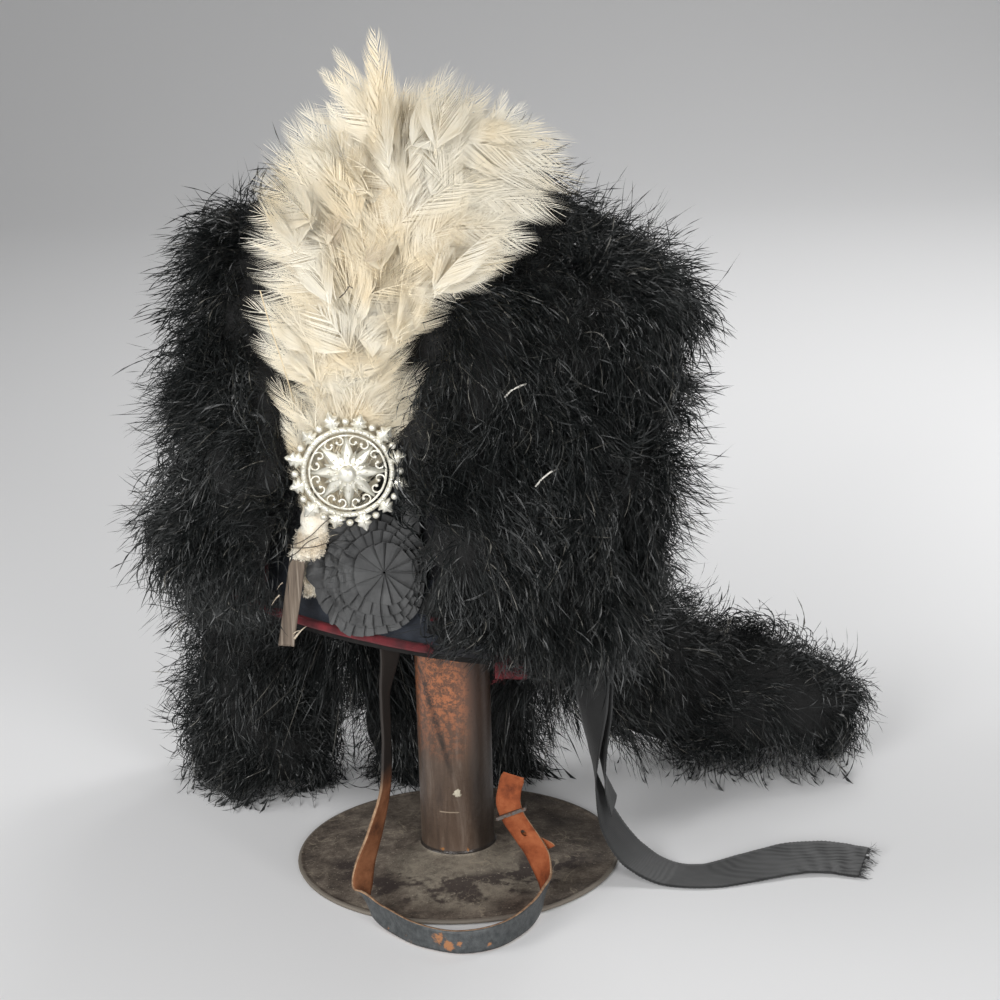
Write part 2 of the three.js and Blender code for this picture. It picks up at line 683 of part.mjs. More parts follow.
/**
 * A pierced cast badge, face towards local +Z: a faceted eight-pointed star whose tips run into a
 * ring, with leaves of two sizes standing out round it.
 */
function badgeSolid() {
  const { ring, ringWire, starPoints, starWaist, starRise, starBack, boss, bossRise } = BADGE;
  const { leaves, leafTip, leafStep, leafRoot, leafHalfWidth, leafThickness } = BADGE;
  const rim = ringOf(2 * starPoints, (angle) => {
    const isTip = Math.round((angle / Math.PI) * starPoints) % 2 === 0;
    const radius = isTip ? ring : starWaist;
    return vector(radius * Math.cos(angle), radius * Math.sin(angle), 0);
  });
  const star = toSolid(loft([[vector(0, 0, starRise)], rim, [vector(0, 0, -starBack)]]));
  const hoop = toSolid(new THREE.TorusGeometry(ring, ringWire, 4, 24));
  const dome = toSolid(new THREE.SphereGeometry(boss, 8, 5).translate(0, 0, bossRise));
  const leafSolids = Array.from({ length: leaves }, (_, k) => {
    const root = ring - leafRoot;
    const tip = k % 2 ? leafTip : leafTip - leafStep;
    const leaf = new THREE.ConeGeometry(1, 1, 4, 1);
    leaf.scale(leafHalfWidth, tip - root, leafThickness);
    leaf.translate(0, (tip + root) / 2, 0);
    return toSolid(leaf.rotateZ((2 * Math.PI * k) / leaves));
  });
  return join([star, hoop, dome, ...leafSolids]);
}

// ---------------------------------------------------------------- rosette

/** A pleated ring of ribbon, face towards local +Z. */
function tierGeometry({ halfWidth, halfHeight }) {
  const { thickness, pleats, pleatDepth } = ROSETTE;
  const tier = new THREE.CylinderGeometry(1, 1, thickness, 2 * pleats, 1).rotateX(Math.PI / 2);
  const position = tier.attributes.position;
  const point = new THREE.Vector3();
  for (let i = 0; i < position.count; i += 1) {
    point.fromBufferAttribute(position, i);
    const turn = Math.atan2(point.y, point.x);
    const isEdge = Math.hypot(point.x, point.y) > 0.5;
    const ridge = isEdge ? pleatDepth * Math.cos(pleats * turn) : 0;
    position.setXYZ(i, point.x * halfWidth, point.y * halfHeight, point.z + ridge);
  }
  return tier;
}

// ---------------------------------------------------------------- strap and ribbons

/** The middle line of a flat band and the heading of its width, from 0 at its start to 1. */
function bandFrame(rows, share) {
  const line = new THREE.CatmullRomCurve3(rows.map((row) => vector(row.x, row.y, row.z)));
  const place = share * (rows.length - 1);
  const i = Math.min(Math.floor(place), rows.length - 2);
  const headings = [rows[i], rows[i + 1]].map(({ turn, tilt }) =>
    vector(
      Math.cos(radians(turn)) * Math.cos(radians(tilt)),
      Math.sin(radians(turn)) * Math.cos(radians(tilt)),
      Math.sin(radians(tilt)),
    ),
  );
  const along = line.getTangent(share);
  const width = headings[0].lerp(headings[1], place - i);
  width.addScaledVector(along, -width.dot(along)).normalize();
  return { centre: line.getPoint(share), along, width, face: width.clone().cross(along) };
}

function flatBandGeometry(rows, width, thickness, steps) {
  const corners = [[-0.5, -0.5], [0.5, -0.5], [0.5, 0.5], [-0.5, 0.5]];
  const rings = Array.from({ length: steps + 1 }, (_, k) => {
    const frame = bandFrame(rows, k / steps);
    return corners.map(([across, out]) =>
      frame.centre
        .clone()
        .addScaledVector(frame.width, across * width)
        .addScaledVector(frame.face, out * thickness),
    );
  });
  return loft(rings);
}

/** A ribbon, or the slot that it needs: grown is added on every side. */
function ribbonSolid(rows, grown = 0) {
  const width = RIBBON_WIDTH + 2 * grown;
  const thickness = RIBBON_THICKNESS + 2 * grown;
  return toSolid(flatBandGeometry(rows, width, thickness, RIBBON_STEPS));
}

/** A wire frame round the strap, in the plane across it. */
function buckleGeometry() {
  const { wire, clearance, depth } = BUCKLE;
  const innerWidth = STRAP_WIDTH + 2 * clearance;
  const innerHeight = STRAP_THICKNESS + 2 * clearance;
  const rectangle = (width, height, target) => {
    target.moveTo(-width / 2, -height / 2);
    target.lineTo(width / 2, -height / 2);
    target.lineTo(width / 2, height / 2);
    target.lineTo(-width / 2, height / 2);
    target.closePath();
    return target;
  };
  const shape = rectangle(innerWidth + 2 * wire, innerHeight + 2 * wire, new THREE.Shape());
  shape.holes.push(rectangle(innerWidth, innerHeight, new THREE.Path()));
  const frame = new THREE.ExtrudeGeometry(shape, { depth, bevelEnabled: false });
  return frame.translate(0, 0, -depth / 2);
}

// ---------------------------------------------------------------- assembly

const MATERIALS = {
  iron: { color: 0x3a322c, roughness: 0.55, metalness: 0.6 },
  blackFeather: { color: 0x0b0b0d, roughness: 0.7, metalness: 0 },
  creamFeather: { color: 0xeadfc4, roughness: 0.8, metalness: 0 },
  blackCloth: { color: 0x17181b, roughness: 0.9, metalness: 0 },
  navyCloth: { color: 0x1b2230, roughness: 0.9, metalness: 0 },
  redCloth: { color: 0x7c1a22, roughness: 0.85, metalness: 0 },
  creamCloth: { color: 0xd9cba9, roughness: 0.9, metalness: 0 },
  blackLeather: { color: 0x15130f, roughness: 0.6, metalness: 0 },
  tanLeather: { color: 0xa85c34, roughness: 0.65, metalness: 0 },
  silkRibbon: { color: 0x2e2f31, roughness: 0.6, metalness: 0 },
  whiteMetal: { color: 0xc9c8c0, roughness: 0.35, metalness: 1 },
  steelWire: { color: 0x3b3835, roughness: 0.45, metalness: 1 },
  wood: { color: 0x7b6a58, roughness: 0.8, metalness: 0 },
};

function piece(name, shape, look) {
  const solid = shape.isBufferGeometry ? toSolid(shape) : shape;
  const mesh = new THREE.Mesh(toGeometry(solid), new THREE.MeshStandardMaterial(MATERIALS[look]));
  mesh.name = name;
  return mesh;
}

function standGroup() {
  const tubeTop = RIM.z + CROWN_HEIGHT - CROWN_WALL - GAP;
  return new THREE.Group().add(piece('stand', standGeometry(tubeTop), 'iron'));
}

function bodyGroup() {
  const welt = {
    low: WELT.low,
    high: WELT.high,
    inner: GAP,
    outer: GAP + WELT.thickness,
    from: WELT.tornTo,
    to: WELT.tornFrom + AROUND,
  };
  const band = { low: BAND.low, high: BAND.high, inner: GAP, outer: GAP + BAND.thickness };
  const liningFace = -CROWN_WALL - GAP;
  const sweatband = {
    low: SWEATBAND.low,
    high: SWEATBAND.high,
    inner: liningFace - SWEATBAND.thickness,
    outer: liningFace,
  };
  const cover = coverSolid();
  const group = new THREE.Group().add(
    piece('crown', crownSolid(), 'blackCloth'),
    piece('headband', bandSolid(band), 'navyCloth'),
    piece('rim_welt', bandSolid(welt), 'redCloth'),
    piece('sweatband', bandSolid(sweatband), 'blackLeather'),
    piece('feather_cover', cover, 'blackFeather'),
  );
  for (const [name, rows] of Object.entries(TAILS))
    group.add(piece(name, tailSolid(rows, cover), 'blackFeather'));
  return group;
}

function plumeGroup() {
  const { x, y, z, width, height, thickness } = PLUME_CLOTH;
  const scrap = { x, footX: x + 2, z: z + height / 2, footZ: z - height / 2, y, width, thickness };
  return new THREE.Group().add(
    piece('plume', plumeSolid(), 'creamFeather'),
    piece('plume_sleeve', sleeveSolid(), 'creamCloth'),
    piece('plume_stem', slatSolid(STEM), 'wood'),
    piece('plume_cloth', slatSolid(scrap), 'creamCloth'),
  );
}

function badgeGroup() {
  const group = new THREE.Group().add(piece('badge', badgeSolid(), 'whiteMetal'));
  group.position.set(BADGE.x, BADGE.y, BADGE.z);
  group.rotation.x = Math.PI / 2;
  return group;
}

function rosetteGroup() {
  const group = new THREE.Group();
  ROSETTE_TIERS.forEach((tier, k) => {
    const mesh = piece(`rosette_tier_${k + 1}`, tierGeometry(tier), 'silkRibbon');
    mesh.position.set(tier.x, ROSETTE.y - k * ROSETTE.step, tier.z);
    mesh.rotation.x = Math.PI / 2 + ROSETTE.lean;
    group.add(mesh);
  });
  const tabShape = new THREE.BoxGeometry(
    ROSETTE_TAB.width,
    ROSETTE_TAB.thickness,
    ROSETTE_TAB.height,
  );
  const tab = piece('rosette_tab', tabShape, 'silkRibbon');
  tab.position.set(ROSETTE_TAB.x, ROSETTE_TAB.y, ROSETTE_TAB.z);
  group.add(tab);
  return group;
}

function strapGroup() {
  const strap = flatBandGeometry(STRAP, STRAP_WIDTH, STRAP_THICKNESS, STRAP_STEPS);
  const buckle = piece('strap_buckle', buckleGeometry(), 'steelWire');
  const seat = bandFrame(STRAP, BUCKLE.along);
  buckle.position.copy(seat.centre);
  buckle.setRotationFromMatrix(new THREE.Matrix4().makeBasis(seat.width, seat.face, seat.along));
  return new THREE.Group().add(
    piece('chin_strap', strap, 'tanLeather'),
    buckle,
    piece('ribbon_long', ribbonSolid(RIBBON_LONG), 'silkRibbon'),
    piece('ribbon_short', ribbonSolid(RIBBON_SHORT), 'silkRibbon'),
  );
}

const bonnet = new THREE.Group();
bonnet.add(standGroup(), bodyGroup(), plumeGroup(), badgeGroup(), rosetteGroup(), strapGroup());

export default bonnet;
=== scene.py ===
"""Looks of the feather bonnet on its stand: feathers, cloth, leather, cast metal and iron.

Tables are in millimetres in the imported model's frame: +Z up, the wearer's front at -X, and the side
with the hackle towards -Y. add_mesh() turns millimetres into metres.
"""

import math

import bmesh
import bpy
import numpy as np
from mathutils import Matrix, Vector


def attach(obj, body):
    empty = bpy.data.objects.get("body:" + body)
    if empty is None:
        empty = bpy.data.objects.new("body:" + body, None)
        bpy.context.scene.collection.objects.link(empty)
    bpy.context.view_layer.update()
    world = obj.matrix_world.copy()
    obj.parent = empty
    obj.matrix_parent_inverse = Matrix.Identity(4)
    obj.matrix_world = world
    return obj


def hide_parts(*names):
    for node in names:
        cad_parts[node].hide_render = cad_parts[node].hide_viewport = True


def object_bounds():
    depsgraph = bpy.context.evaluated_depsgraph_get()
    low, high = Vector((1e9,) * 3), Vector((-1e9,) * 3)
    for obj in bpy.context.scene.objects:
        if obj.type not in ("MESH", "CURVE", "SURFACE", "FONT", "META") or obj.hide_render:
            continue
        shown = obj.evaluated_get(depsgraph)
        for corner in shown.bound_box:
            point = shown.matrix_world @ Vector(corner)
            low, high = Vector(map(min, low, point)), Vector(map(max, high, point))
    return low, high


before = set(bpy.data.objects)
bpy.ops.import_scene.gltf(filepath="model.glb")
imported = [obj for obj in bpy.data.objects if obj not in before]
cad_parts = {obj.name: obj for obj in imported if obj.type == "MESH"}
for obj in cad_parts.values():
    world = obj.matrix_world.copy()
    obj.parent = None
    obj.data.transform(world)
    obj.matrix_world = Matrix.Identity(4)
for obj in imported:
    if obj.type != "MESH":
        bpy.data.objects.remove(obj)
CAD_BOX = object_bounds()

MM = 0.001
TURN = 2 * math.pi


def rows(columns, *values):
    """A table with named columns, one tuple a row."""
    return dict(zip(columns.split(), np.array(values, float).T))


# ---------------------------------------------------------------- tables of the solids' shapes

RIM = {"x": -39, "y": -8, "z": 177, "to_back": 0.249, "to_far": 0.141, "level_at": 200}
CROWN = rows(
    "rise x y length width",
    (0, -39, -8, 110, 90),
    (60, -33, -6, 112, 92),
    (140, -22, -2, 112, 92),
    (210, -12, 2, 102, 86),
    (243, -6, 4, 76, 66),
    (255, -4, 5, 46, 43),
    (256, -4, 5, 0, 0),
)
COVER = rows(
    "rise x y length width",
    (8, -37, -7, 128, 108),
    (26, -30, -5, 164, 140),
    (66, -21, -2, 166, 148),
    (116, -11, 0, 172, 152),
    (152, -12, 2, 165, 148),
    (207, 0, 4, 171, 150),
    (250, -5, 6, 156, 134),
    (282, -3, 8, 118, 102),
    (299, -2, 8, 66, 58),
    (305, -2, 8, 0, 0),
)
TAILS = {
    "tail_front": rows(
        "x y z across through",
        (-112, 94, 224, 32, 24),
        (-132, 124, 158, 46, 38),
        (-142, 139, 95, 53, 46),
        (-144, 143, 40, 56, 48),
        (-144, 143, 10, 50, 43),
    ),
    "tail_middle": rows(
        "x y z across through",
        (-12, 114, 192, 40, 22),
        (-8, 128, 128, 54, 28),
        (-4, 141, 70, 62, 33),
        (-3, 146, 34, 63, 35),
        (-3, 146, 9, 57, 31),
    ),
    "tail_back": rows(
        "x y z across through",
        (86, 88, 200, 40, 32),
        (108, 116, 136, 50, 44),
        (134, 136, 84, 58, 52),
        (170, 147, 61, 58, 53),
        (215, 152, 55, 53, 53),
        (257, 157, 44, 42, 46),
        (286, 160, 31, 28, 32),
    ),
}
PLUME = rows(
    "z x y width depth",
    (290, -66, -112, 15, 8),
    (356, -56, -112, 31, 8),
    (384, -52, -120, 36, 14),
    (410, -50, -129, 47, 19),
    (436, -32, -136, 68, 21),
    (466, -18, -138, 82, 24),
    (500, -14, -131, 74, 27),
    (528, -18, -125, 54, 21),
    (548, -24, -121, 30, 12),
)
PLUME_COUNT = 230  # feathers of the hackle, besides those that make its outline
DOWN_PER_FEATHER = 10
BARBS_PER_SIDE, STAINED_BARBS_PER_SIDE = 104, 126
# The hackle's outline: where a tip is, its way (degrees from upright, + to the back) and bend.
PLUME_TIPS = rows(
    "x z length width turn bend",
    (-29, 586, 98, 17, -5, -4),
    (-55, 573, 68, 10, -28, -12),
    (-63, 561, 54, 10, -40, -10),
    (-21, 557, 66, 14, 8, 6),
    (-40, 552, 66, 16, -14, -8),
    (0, 546, 78, 18, 22, 10),
    (17, 561, 90, 19, 34, 18),
    (38, 550, 84, 18, 34, 30),
    (30, 541, 74, 18, 40, 20),
    (46, 546, 54, 10, 22, 6),
    (60, 537, 62, 13, 52, 20),
    (70, 528, 74, 15, 62, 25),
    (86, 511, 96, 18, 98, 55),
    (84, 500, 82, 22, 102, 40),
    (90, 486, 92, 26, 108, 45),
    (81, 470, 82, 25, 104, 40),
    (64, 454, 78, 23, 102, 35),
    (49, 441, 72, 22, 104, 35),
    (36, 430, 68, 20, 106, 35),
    (15, 420, 62, 19, 98, 30),
    (-4, 410, 54, 17, 80, 25),
    (-18, 402, 42, 15, 60, 20),
    (-4, 379, 46, 19, 48, 26),
    (-12, 361, 42, 18, 54, 26),
    (-23, 340, 36, 16, 46, 26),
    (-75, 542, 58, 19, -26, -16),
    (-85, 534, 62, 20, -36, -20),
    (-98, 519, 62, 21, -46, -24),
    (-106, 499, 62, 22, -58, -28),
    (-108, 481, 58, 22, -66, -30),
    (-114, 465, 58, 22, -74, -32),
    (-111, 447, 56, 22, -72, -30),
    (-115, 424, 56, 22, -66, -30),
    (-110, 405, 50, 19, -50, -22),
    (-101, 376, 44, 16, -30, -15),
    (-94, 350, 38, 14, -18, -10),
)
# How far the tips of the other feathers spread.
PLUME_SPREAD = rows(
    "z left right",
    (306, -82, -32),
    (334, -90, -26),
    (358, -94, -14),
    (378, -99, -8),
    (398, -105, -22),
    (410, -108, -12),
    (429, -109, 27),
    (451, -108, 54),
    (466, -108, 71),
    (485, -104, 81),
    (510, -98, 76),
    (528, -86, 60),
    (545, -66, 38),
    (560, -46, 10),
)
# Feathers with grey-brown ends, in front of the others.
STAINED_TIPS = rows(
    "x z length width turn bend",
    (-93, 467, 46, 25, -48, -16),
    (-54, 484, 36, 12, 14, 10),
    (-22, 463, 26, 10, 55, 20),
    (-34, 366, 30, 13, -20, -10),
)
# What the black feathers leave free on the -Y side: the hackle, the badge and the rosette.
CLEARING = rows(
    "z left right",
    (150, -104, -14),
    (206, -104, -14),
    (282, -92, -18),
    (308, -95, -30),
    (333, -94, -31),
    (359, -94, -14),
    (378, -98, -7),
    (404, -116, -22),
    (429, -119, 30),
    (471, -112, 75),
    (496, -105, 84),
)

# ---------------------------------------------------------------- small helpers


def at(table, key, value):
    """The table's other columns at values of its key column, blended between rows."""
    return {name: np.interp(value, table[key], table[name]) for name in table if name != key}


def unit(vectors):
    return vectors / np.maximum(np.linalg.norm(vectors, axis=-1, keepdims=True), 1e-9)


def smoothstep(value, low, high):
    share = np.clip((value - low) / (high - low), 0, 1)
    return share * share * (3 - 2 * share)


def lumps(points, size, seed):
    """Smooth noise between about -1 and 1, with features of the given size in millimetres."""
    random = np.random.default_rng(seed)
    waves = random.normal(size=(12, 3)) * (2.2 / size)
    phases = random.uniform(0, TURN, 12)
    return np.sin(points @ waves.T + phases).sum(-1) / 4


def stack(*columns):
    return np.stack(np.broadcast_arrays(*columns), -1).astype(float)


def add_mesh(name, points, faces, material, smooth=True, looks=None, normals=None):
    """A mesh object from points in millimetres and a list of arrays of faces, one array a size.

    material is one material, or a list that looks gives each face's place in. normals, one a point,
    shade thin barbs as the soft mass that they make together.
    """
    mesh = bpy.data.meshes.new(name)
    points = np.asarray(points, float).reshape(-1, 3)
    faces = [np.asarray(group) for group in faces if len(group)]
    mesh.vertices.add(len(points))
    mesh.vertices.foreach_set("co", (points * MM).astype(np.float32).ravel())
    corners = np.concatenate([group.ravel() for group in faces]).astype(np.int32)
    sizes = np.concatenate([np.full(len(group), group.shape[1]) for group in faces])
    mesh.loops.add(len(corners))
    mesh.loops.foreach_set("vertex_index", corners)
    mesh.polygons.add(len(sizes))
    starts = np.concatenate([[0], np.cumsum(sizes)[:-1]]).astype(np.int32)
    mesh.polygons.foreach_set("loop_start", starts)
    mesh.polygons.foreach_set("use_smooth", np.full(len(sizes), smooth))
    for one in material if isinstance(material, (list, tuple)) else [material]:
        mesh.materials.append(one)
    if looks is not None:
        mesh.polygons.foreach_set("material_index", np.asarray(looks, np.int32))
    mesh.update(calc_edges=True)
    if normals is not None:
        mesh.normals_split_custom_set_from_vertices(normals.astype(np.float32))
    obj = bpy.data.objects.new(name, mesh)
    bpy.context.scene.collection.objects.link(obj)
    return obj


def piece(name, points, faces, material, slot, replaces=(), smooth=True, looks=None, normals=None):
    obj = add_mesh(name, points, faces, material, smooth, looks, normals)
    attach(obj, "root")
    if replaces:
        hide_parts(*replaces)
    return obj


def hairs(root, start, end, length, outward):
    """Barbs, wool or threads as strands() takes them, from any first and last ways."""
    start, end = unit(start), unit(end)
    return {"root": root, "start": start, "end": end, "length": length, "outward": outward}


def grid(u, v):
    return np.meshgrid(u, v, indexing="ij")


def turns(count):
    return np.linspace(0, TURN, count, endpoint=False)


def grid_faces(count_u, count_v, loop_u=False, loop_v=False):
    """Quads of a grid of points numbered u * count_v + v."""
    u = np.arange(count_u if loop_u else count_u - 1)
    v = np.arange(count_v if loop_v else count_v - 1)
    u, v = (axis.ravel() for axis in grid(u, v))
    next_u, next_v = (u + 1) % count_u, (v + 1) % count_v
    return np.stack(
        [u * count_v + v, u * count_v + next_v, next_u * count_v + next_v, next_u * count_v + v],
        -1,
    )


def tube_faces(count_u, count_v):
    """A closed tube of count_u rings of count_v points, with a flat cap on each end."""
    ends = [np.arange(count_v)[::-1][None], (count_u - 1) * count_v + np.arange(count_v)[None]]
    return [grid_faces(count_u, count_v, loop_v=True), *ends]


def tube_along(line, radius, sides=6):
    """A closed thin tube along points of a line."""
    line = np.asarray(line, float)
    tangent = unit(np.gradient(line, axis=0))
    first = unit(np.cross(tangent, [0.31, 0.17, 0.93]))
    second = np.cross(tangent, first)
    turn = turns(sides)[None, :, None]
    spokes = first[:, None] * np.cos(turn) + second[:, None] * np.sin(turn)
    points = line[:, None] + radius * spokes
    return points.reshape(-1, 3), tube_faces(len(line), sides)


def apply_modifiers(obj):
    evaluated = obj.evaluated_get(bpy.context.evaluated_depsgraph_get())
    mesh = bpy.data.meshes.new_from_object(evaluated)
    obj.modifiers.clear()
    obj.data = mesh


def face_outwards(obj):
    """Turns the faces of a closed piece so that they face out."""
    mesh = bmesh.new()
    mesh.from_mesh(obj.data)
    bmesh.ops.recalc_face_normals(mesh, faces=mesh.faces)
    mesh.to_mesh(obj.data)
    mesh.free()
    return obj


def merge(parts):
    """(points, faces) of several parts as one mesh."""
    points, faces, start = [], [], 0
    for part_points, part_faces in parts:
        part_points = np.asarray(part_points, float).reshape(-1, 3)
        points.append(part_points)
        faces += [np.asarray(group) + start for group in part_faces]
        start += len(part_points)
    sizes = sorted({group.shape[1] for group in faces})
    joined = [np.concatenate([g for g in faces if g.shape[1] == size]) for size in sizes]
    return np.concatenate(points), joined


# ---------------------------------------------------------------- materials


class Nodes:
    """Short ways to write a node material."""

    def __init__(self, name):
        self.material = bpy.data.materials.new(name)
        self.material.use_nodes = True
        self.tree = self.material.node_tree
        self.shader = self.tree.nodes["Principled BSDF"]
        self.place = self.add("ShaderNodeTexCoord").outputs["Object"]

    def feed(self, node, inputs):
        """Links the inputs that are given as sockets, and sets the others to their values."""
        for key, value in inputs.items():
            socket = node.inputs[key]
            if isinstance(value, bpy.types.NodeSocket):
                self.tree.links.new(value, socket)
                continue
            is_colour = isinstance(value, tuple) and len(value) < len(socket.default_value)
            socket.default_value = (*value, 1) if is_colour else value

    def add(self, kind, inputs=(), **values):
        node = self.tree.nodes.new(kind)
        for key, value in values.items():
            setattr(node, key, value)
        self.feed(node, dict(inputs))
        return node

    def set(self, **values):
        """Sets the shader's own inputs: a name's underscores stand for spaces."""
        self.feed(self.shader, {key.replace("_", " "): value for key, value in values.items()})
        return self.material

    def stretched(self, scale, turn=(0, 0, 0)):
        inputs = {"Scale": scale, "Rotation": turn, "Vector": self.place}
        return self.add("ShaderNodeMapping", inputs).outputs["Vector"]

    def noise(self, scale, detail=3, rough=0.55, vector=None, distortion=0):
        inputs = {"Scale": scale, "Detail": detail, "Roughness": rough, "Distortion": distortion}
        inputs["Vector"] = vector or self.place
        return self.add("ShaderNodeTexNoise", inputs).outputs["Fac"]

    def ramp(self, value, *stops):
        """stops are (place, colour or grey level)."""
        node = self.add("ShaderNodeValToRGB", {"Fac": value})
        elements = node.color_ramp.elements
        while len(elements) < len(stops):
            elements.new(0.5)
        for element, (place, colour) in zip(elements, stops):
            element.position = place
            colour = (colour,) * 3 if isinstance(colour, (int, float)) else colour
            element.color = (*colour, 1)
        return node.outputs["Color"]

    def mix(self, share, low, high, blend="MIX"):
        """Two colours or sockets, mixed by a share."""
        inputs = {0: share, 6: low, 7: high}
        return self.add("ShaderNodeMix", inputs, data_type="RGBA", blend_type=blend).outputs[2]

    def math(self, kind, first, second=0.0):
        return self.add("ShaderNodeMath", {0: first, 1: second}, operation=kind).outputs[0]

    def axis(self, name):
        return self.add("ShaderNodeSeparateXYZ", {0: self.place}).outputs[name]

    def rise(self, value, low, high, top=1.0):
        """Climbs from 0 to top as a value goes from low to high millimetres."""
        inputs = {"Value": value, "From Min": low * MM, "From Max": high * MM}
        inputs |= {"To Min": 0.0, "To Max": top}
        return self.add("ShaderNodeMapRange", inputs).outputs["Result"]

    def waves(self, axis, per_metre):
        return self.math("SINE", self.math("MULTIPLY", self.axis(axis), per_metre * TURN))

    def bump(self, height, distance, strength=1.0):
        inputs = {"Height": height, "Distance": distance, "Strength": strength}
        self.set(Normal=self.add("ShaderNodeBump", inputs).outputs["Normal"])

    def spot(self, centre, size, ragged=0.5, scale=300):
        """1 inside a ragged spot around a place, in mm, and 0 outside it."""
        inputs = {0: self.place, 1: tuple(value * MM for value in centre)}
        node = self.add("ShaderNodeVectorMath", inputs, operation="DISTANCE")
        far = self.math("MULTIPLY", node.outputs["Value"], 0.5 / (size * MM))
        edge = self.math("MULTIPLY", self.noise(scale, 4), 0.5 * ragged)
        return self.ramp(self.math("ADD", far, edge), (0.55, 1.0), (0.68, 0.0))

    def within(self, value, low, high, blur):
        """1 where a value in millimetres lies between two limits."""
        middle, half = (low + high) / 2 * MM, (high - low) / 2 * MM
        off = self.math("ABSOLUTE", self.math("SUBTRACT", value, middle))
        share = self.math("MULTIPLY", off, 0.5 / (half + blur * MM))
        return self.ramp(share, (0.5 * half / (half + blur * MM), 1.0), (0.5, 0.0))

    def both(self, *masks):
        """All of several masks at once."""
        mask = masks[0]
        for other in masks[1:]:
            mask = self.math("MULTIPLY", mask, other)
        return mask

    def from_axis(self):
        """Distance from the Z axis."""
        x, y = self.axis("X"), self.axis("Y")
        square = self.math("ADD", self.math("MULTIPLY", x, x), self.math("MULTIPLY", y, y))
        return self.math("SQRT", square)

    def each_strand(self):
        return self.add("ShaderNodeNewGeometry").outputs["Random Per Island"]


def black_feather_material():
    n = Nodes("black_feather")
    colour = n.ramp(
        n.each_strand(),
        (0.0, (0.003, 0.004, 0.004)),
        (0.55, (0.009, 0.011, 0.011)),
        (0.9, (0.023, 0.025, 0.025)),
        (0.98, (0.05, 0.05, 0.046)),
        (1.0, (0.20, 0.19, 0.165)),
    )
    return n.set(Base_Color=colour, Roughness=0.38, Specular_IOR_Level=0.42)


def cream_feather_material(name, aged, fresh):
    n = Nodes(name)
    age = n.ramp(n.noise(24, 3), (0.36, aged), (0.6, fresh))
    tone = n.ramp(n.each_strand(), (0.0, 0.91), (1.0, 1.0))
    colour = n.mix(1.0, age, tone, "MULTIPLY")
    n.set(Base_Color=colour, Roughness=0.62, Specular_IOR_Level=0.3)
    glow = n.add("ShaderNodeBsdfTranslucent", {"Color": colour})
    sparse = n.add("ShaderNodeBsdfTransparent")
    surface = n.shader.outputs["BSDF"]
    for share, other in ((0.24, glow), (0.08, sparse)):
        inputs = {"Fac": share, 1: surface, 2: other.outputs["BSDF"]}
        surface = n.add("ShaderNodeMixShader", inputs).outputs["Shader"]
    n.feed(n.tree.nodes["Material Output"], {"Surface": surface})
    return n.material


def cloth_material(name, dark, light, weave=1500, roughness=0.9):
    """Plain woven cloth: uneven dye and a fine over-and-under relief."""
    n = Nodes(name)
    colour = n.mix(n.ramp(n.noise(90, 4), (0.35, 0.0), (0.7, 1.0)), dark, light)
    n.bump(n.both(n.waves("X", weave), n.waves("Z", weave)), 0.0002, 0.6)
    return n.set(Base_Color=colour, Roughness=roughness, Sheen_Weight=0.1)


RIBS_PER_METRE = 1300


def ribbon_material(name, dark, light):
    """Ribbed silk: fine ribs across the ribbon, worn grey and a little dusty."""
    n = Nodes(name)
    pale_front_patch = n.ramp(n.noise(55, 5), (0.35, dark), (0.75, light))
    n.bump(n.waves("Z", RIBS_PER_METRE), 0.0002, 0.35)
    return n.set(Base_Color=pale_front_patch, Roughness=0.55, Sheen_Weight=0.15)


def white_metal_material():
    n = Nodes("white_metal")
    tarnish, plain, worn = (0.60, 0.57, 0.47), (0.80, 0.78, 0.69), (0.92, 0.91, 0.85)
    colour = n.ramp(n.noise(210, 5), (0.3, tarnish), (0.5, plain), (0.8, worn))
    rough = n.ramp(n.noise(330, 4), (0.3, 0.46), (0.7, 0.30))
    n.bump(n.noise(900, 4), 0.0002, 0.5)
    return n.set(Base_Color=colour, Metallic=0.6, Roughness=rough)


def wood_material():
    n = Nodes("weathered_wood")
    along_stem = n.stretched((420, 420, 16), (0, math.radians(-10), 0))
    grain = n.noise(1.0, 5, vector=along_stem, distortion=0.4)
    dark, middle, pale = (0.052, 0.037, 0.027), (0.155, 0.120, 0.090), (0.34, 0.29, 0.235)
    colour = n.ramp(grain, (0.3, dark), (0.5, middle), (0.75, pale))
    n.bump(grain, 0.0008, 0.8)
    return n.set(Base_Color=colour, Roughness=0.82)


def leather_flesh_material():
    """The strap's suede side: tan, more orange at the free end, with painted shade that turns it
    black near its upper end.
    """
    n = Nodes("leather_flesh")
    rub = n.noise(60, 6, 0.65)
    worn = (0.062, 0.022, 0.010), (0.165, 0.062, 0.026), (0.26, 0.108, 0.050)
    fresh = (0.085, 0.020, 0.008), (0.25, 0.064, 0.022), (0.38, 0.122, 0.048)
    worn, fresh = (n.ramp(rub, *zip((0.32, 0.5, 0.72), colours)) for colours in (worn, fresh))
    colour = n.mix(n.rise(n.axis("X"), 0, 30), worn, fresh)
    # Painted shade: near black towards the top, where the strap goes up under the rim.
    colour = n.mix(n.rise(n.axis("Z"), 86, 104), colour, (0.014, 0.010, 0.008))
    n.bump(n.noise(1500, 4), 0.0004, 0.7)
    return n.set(Base_Color=colour, Roughness=0.85, Specular_IOR_Level=0.25)


# Where the dyed leather is worn through to tan.
WORN_THROUGH = rows(
    "x y z size", (-13, -150, 10, 7), (-6, -151, 6, 6), (1, -151, 8, 4), (20, -146, 5, 4)
)


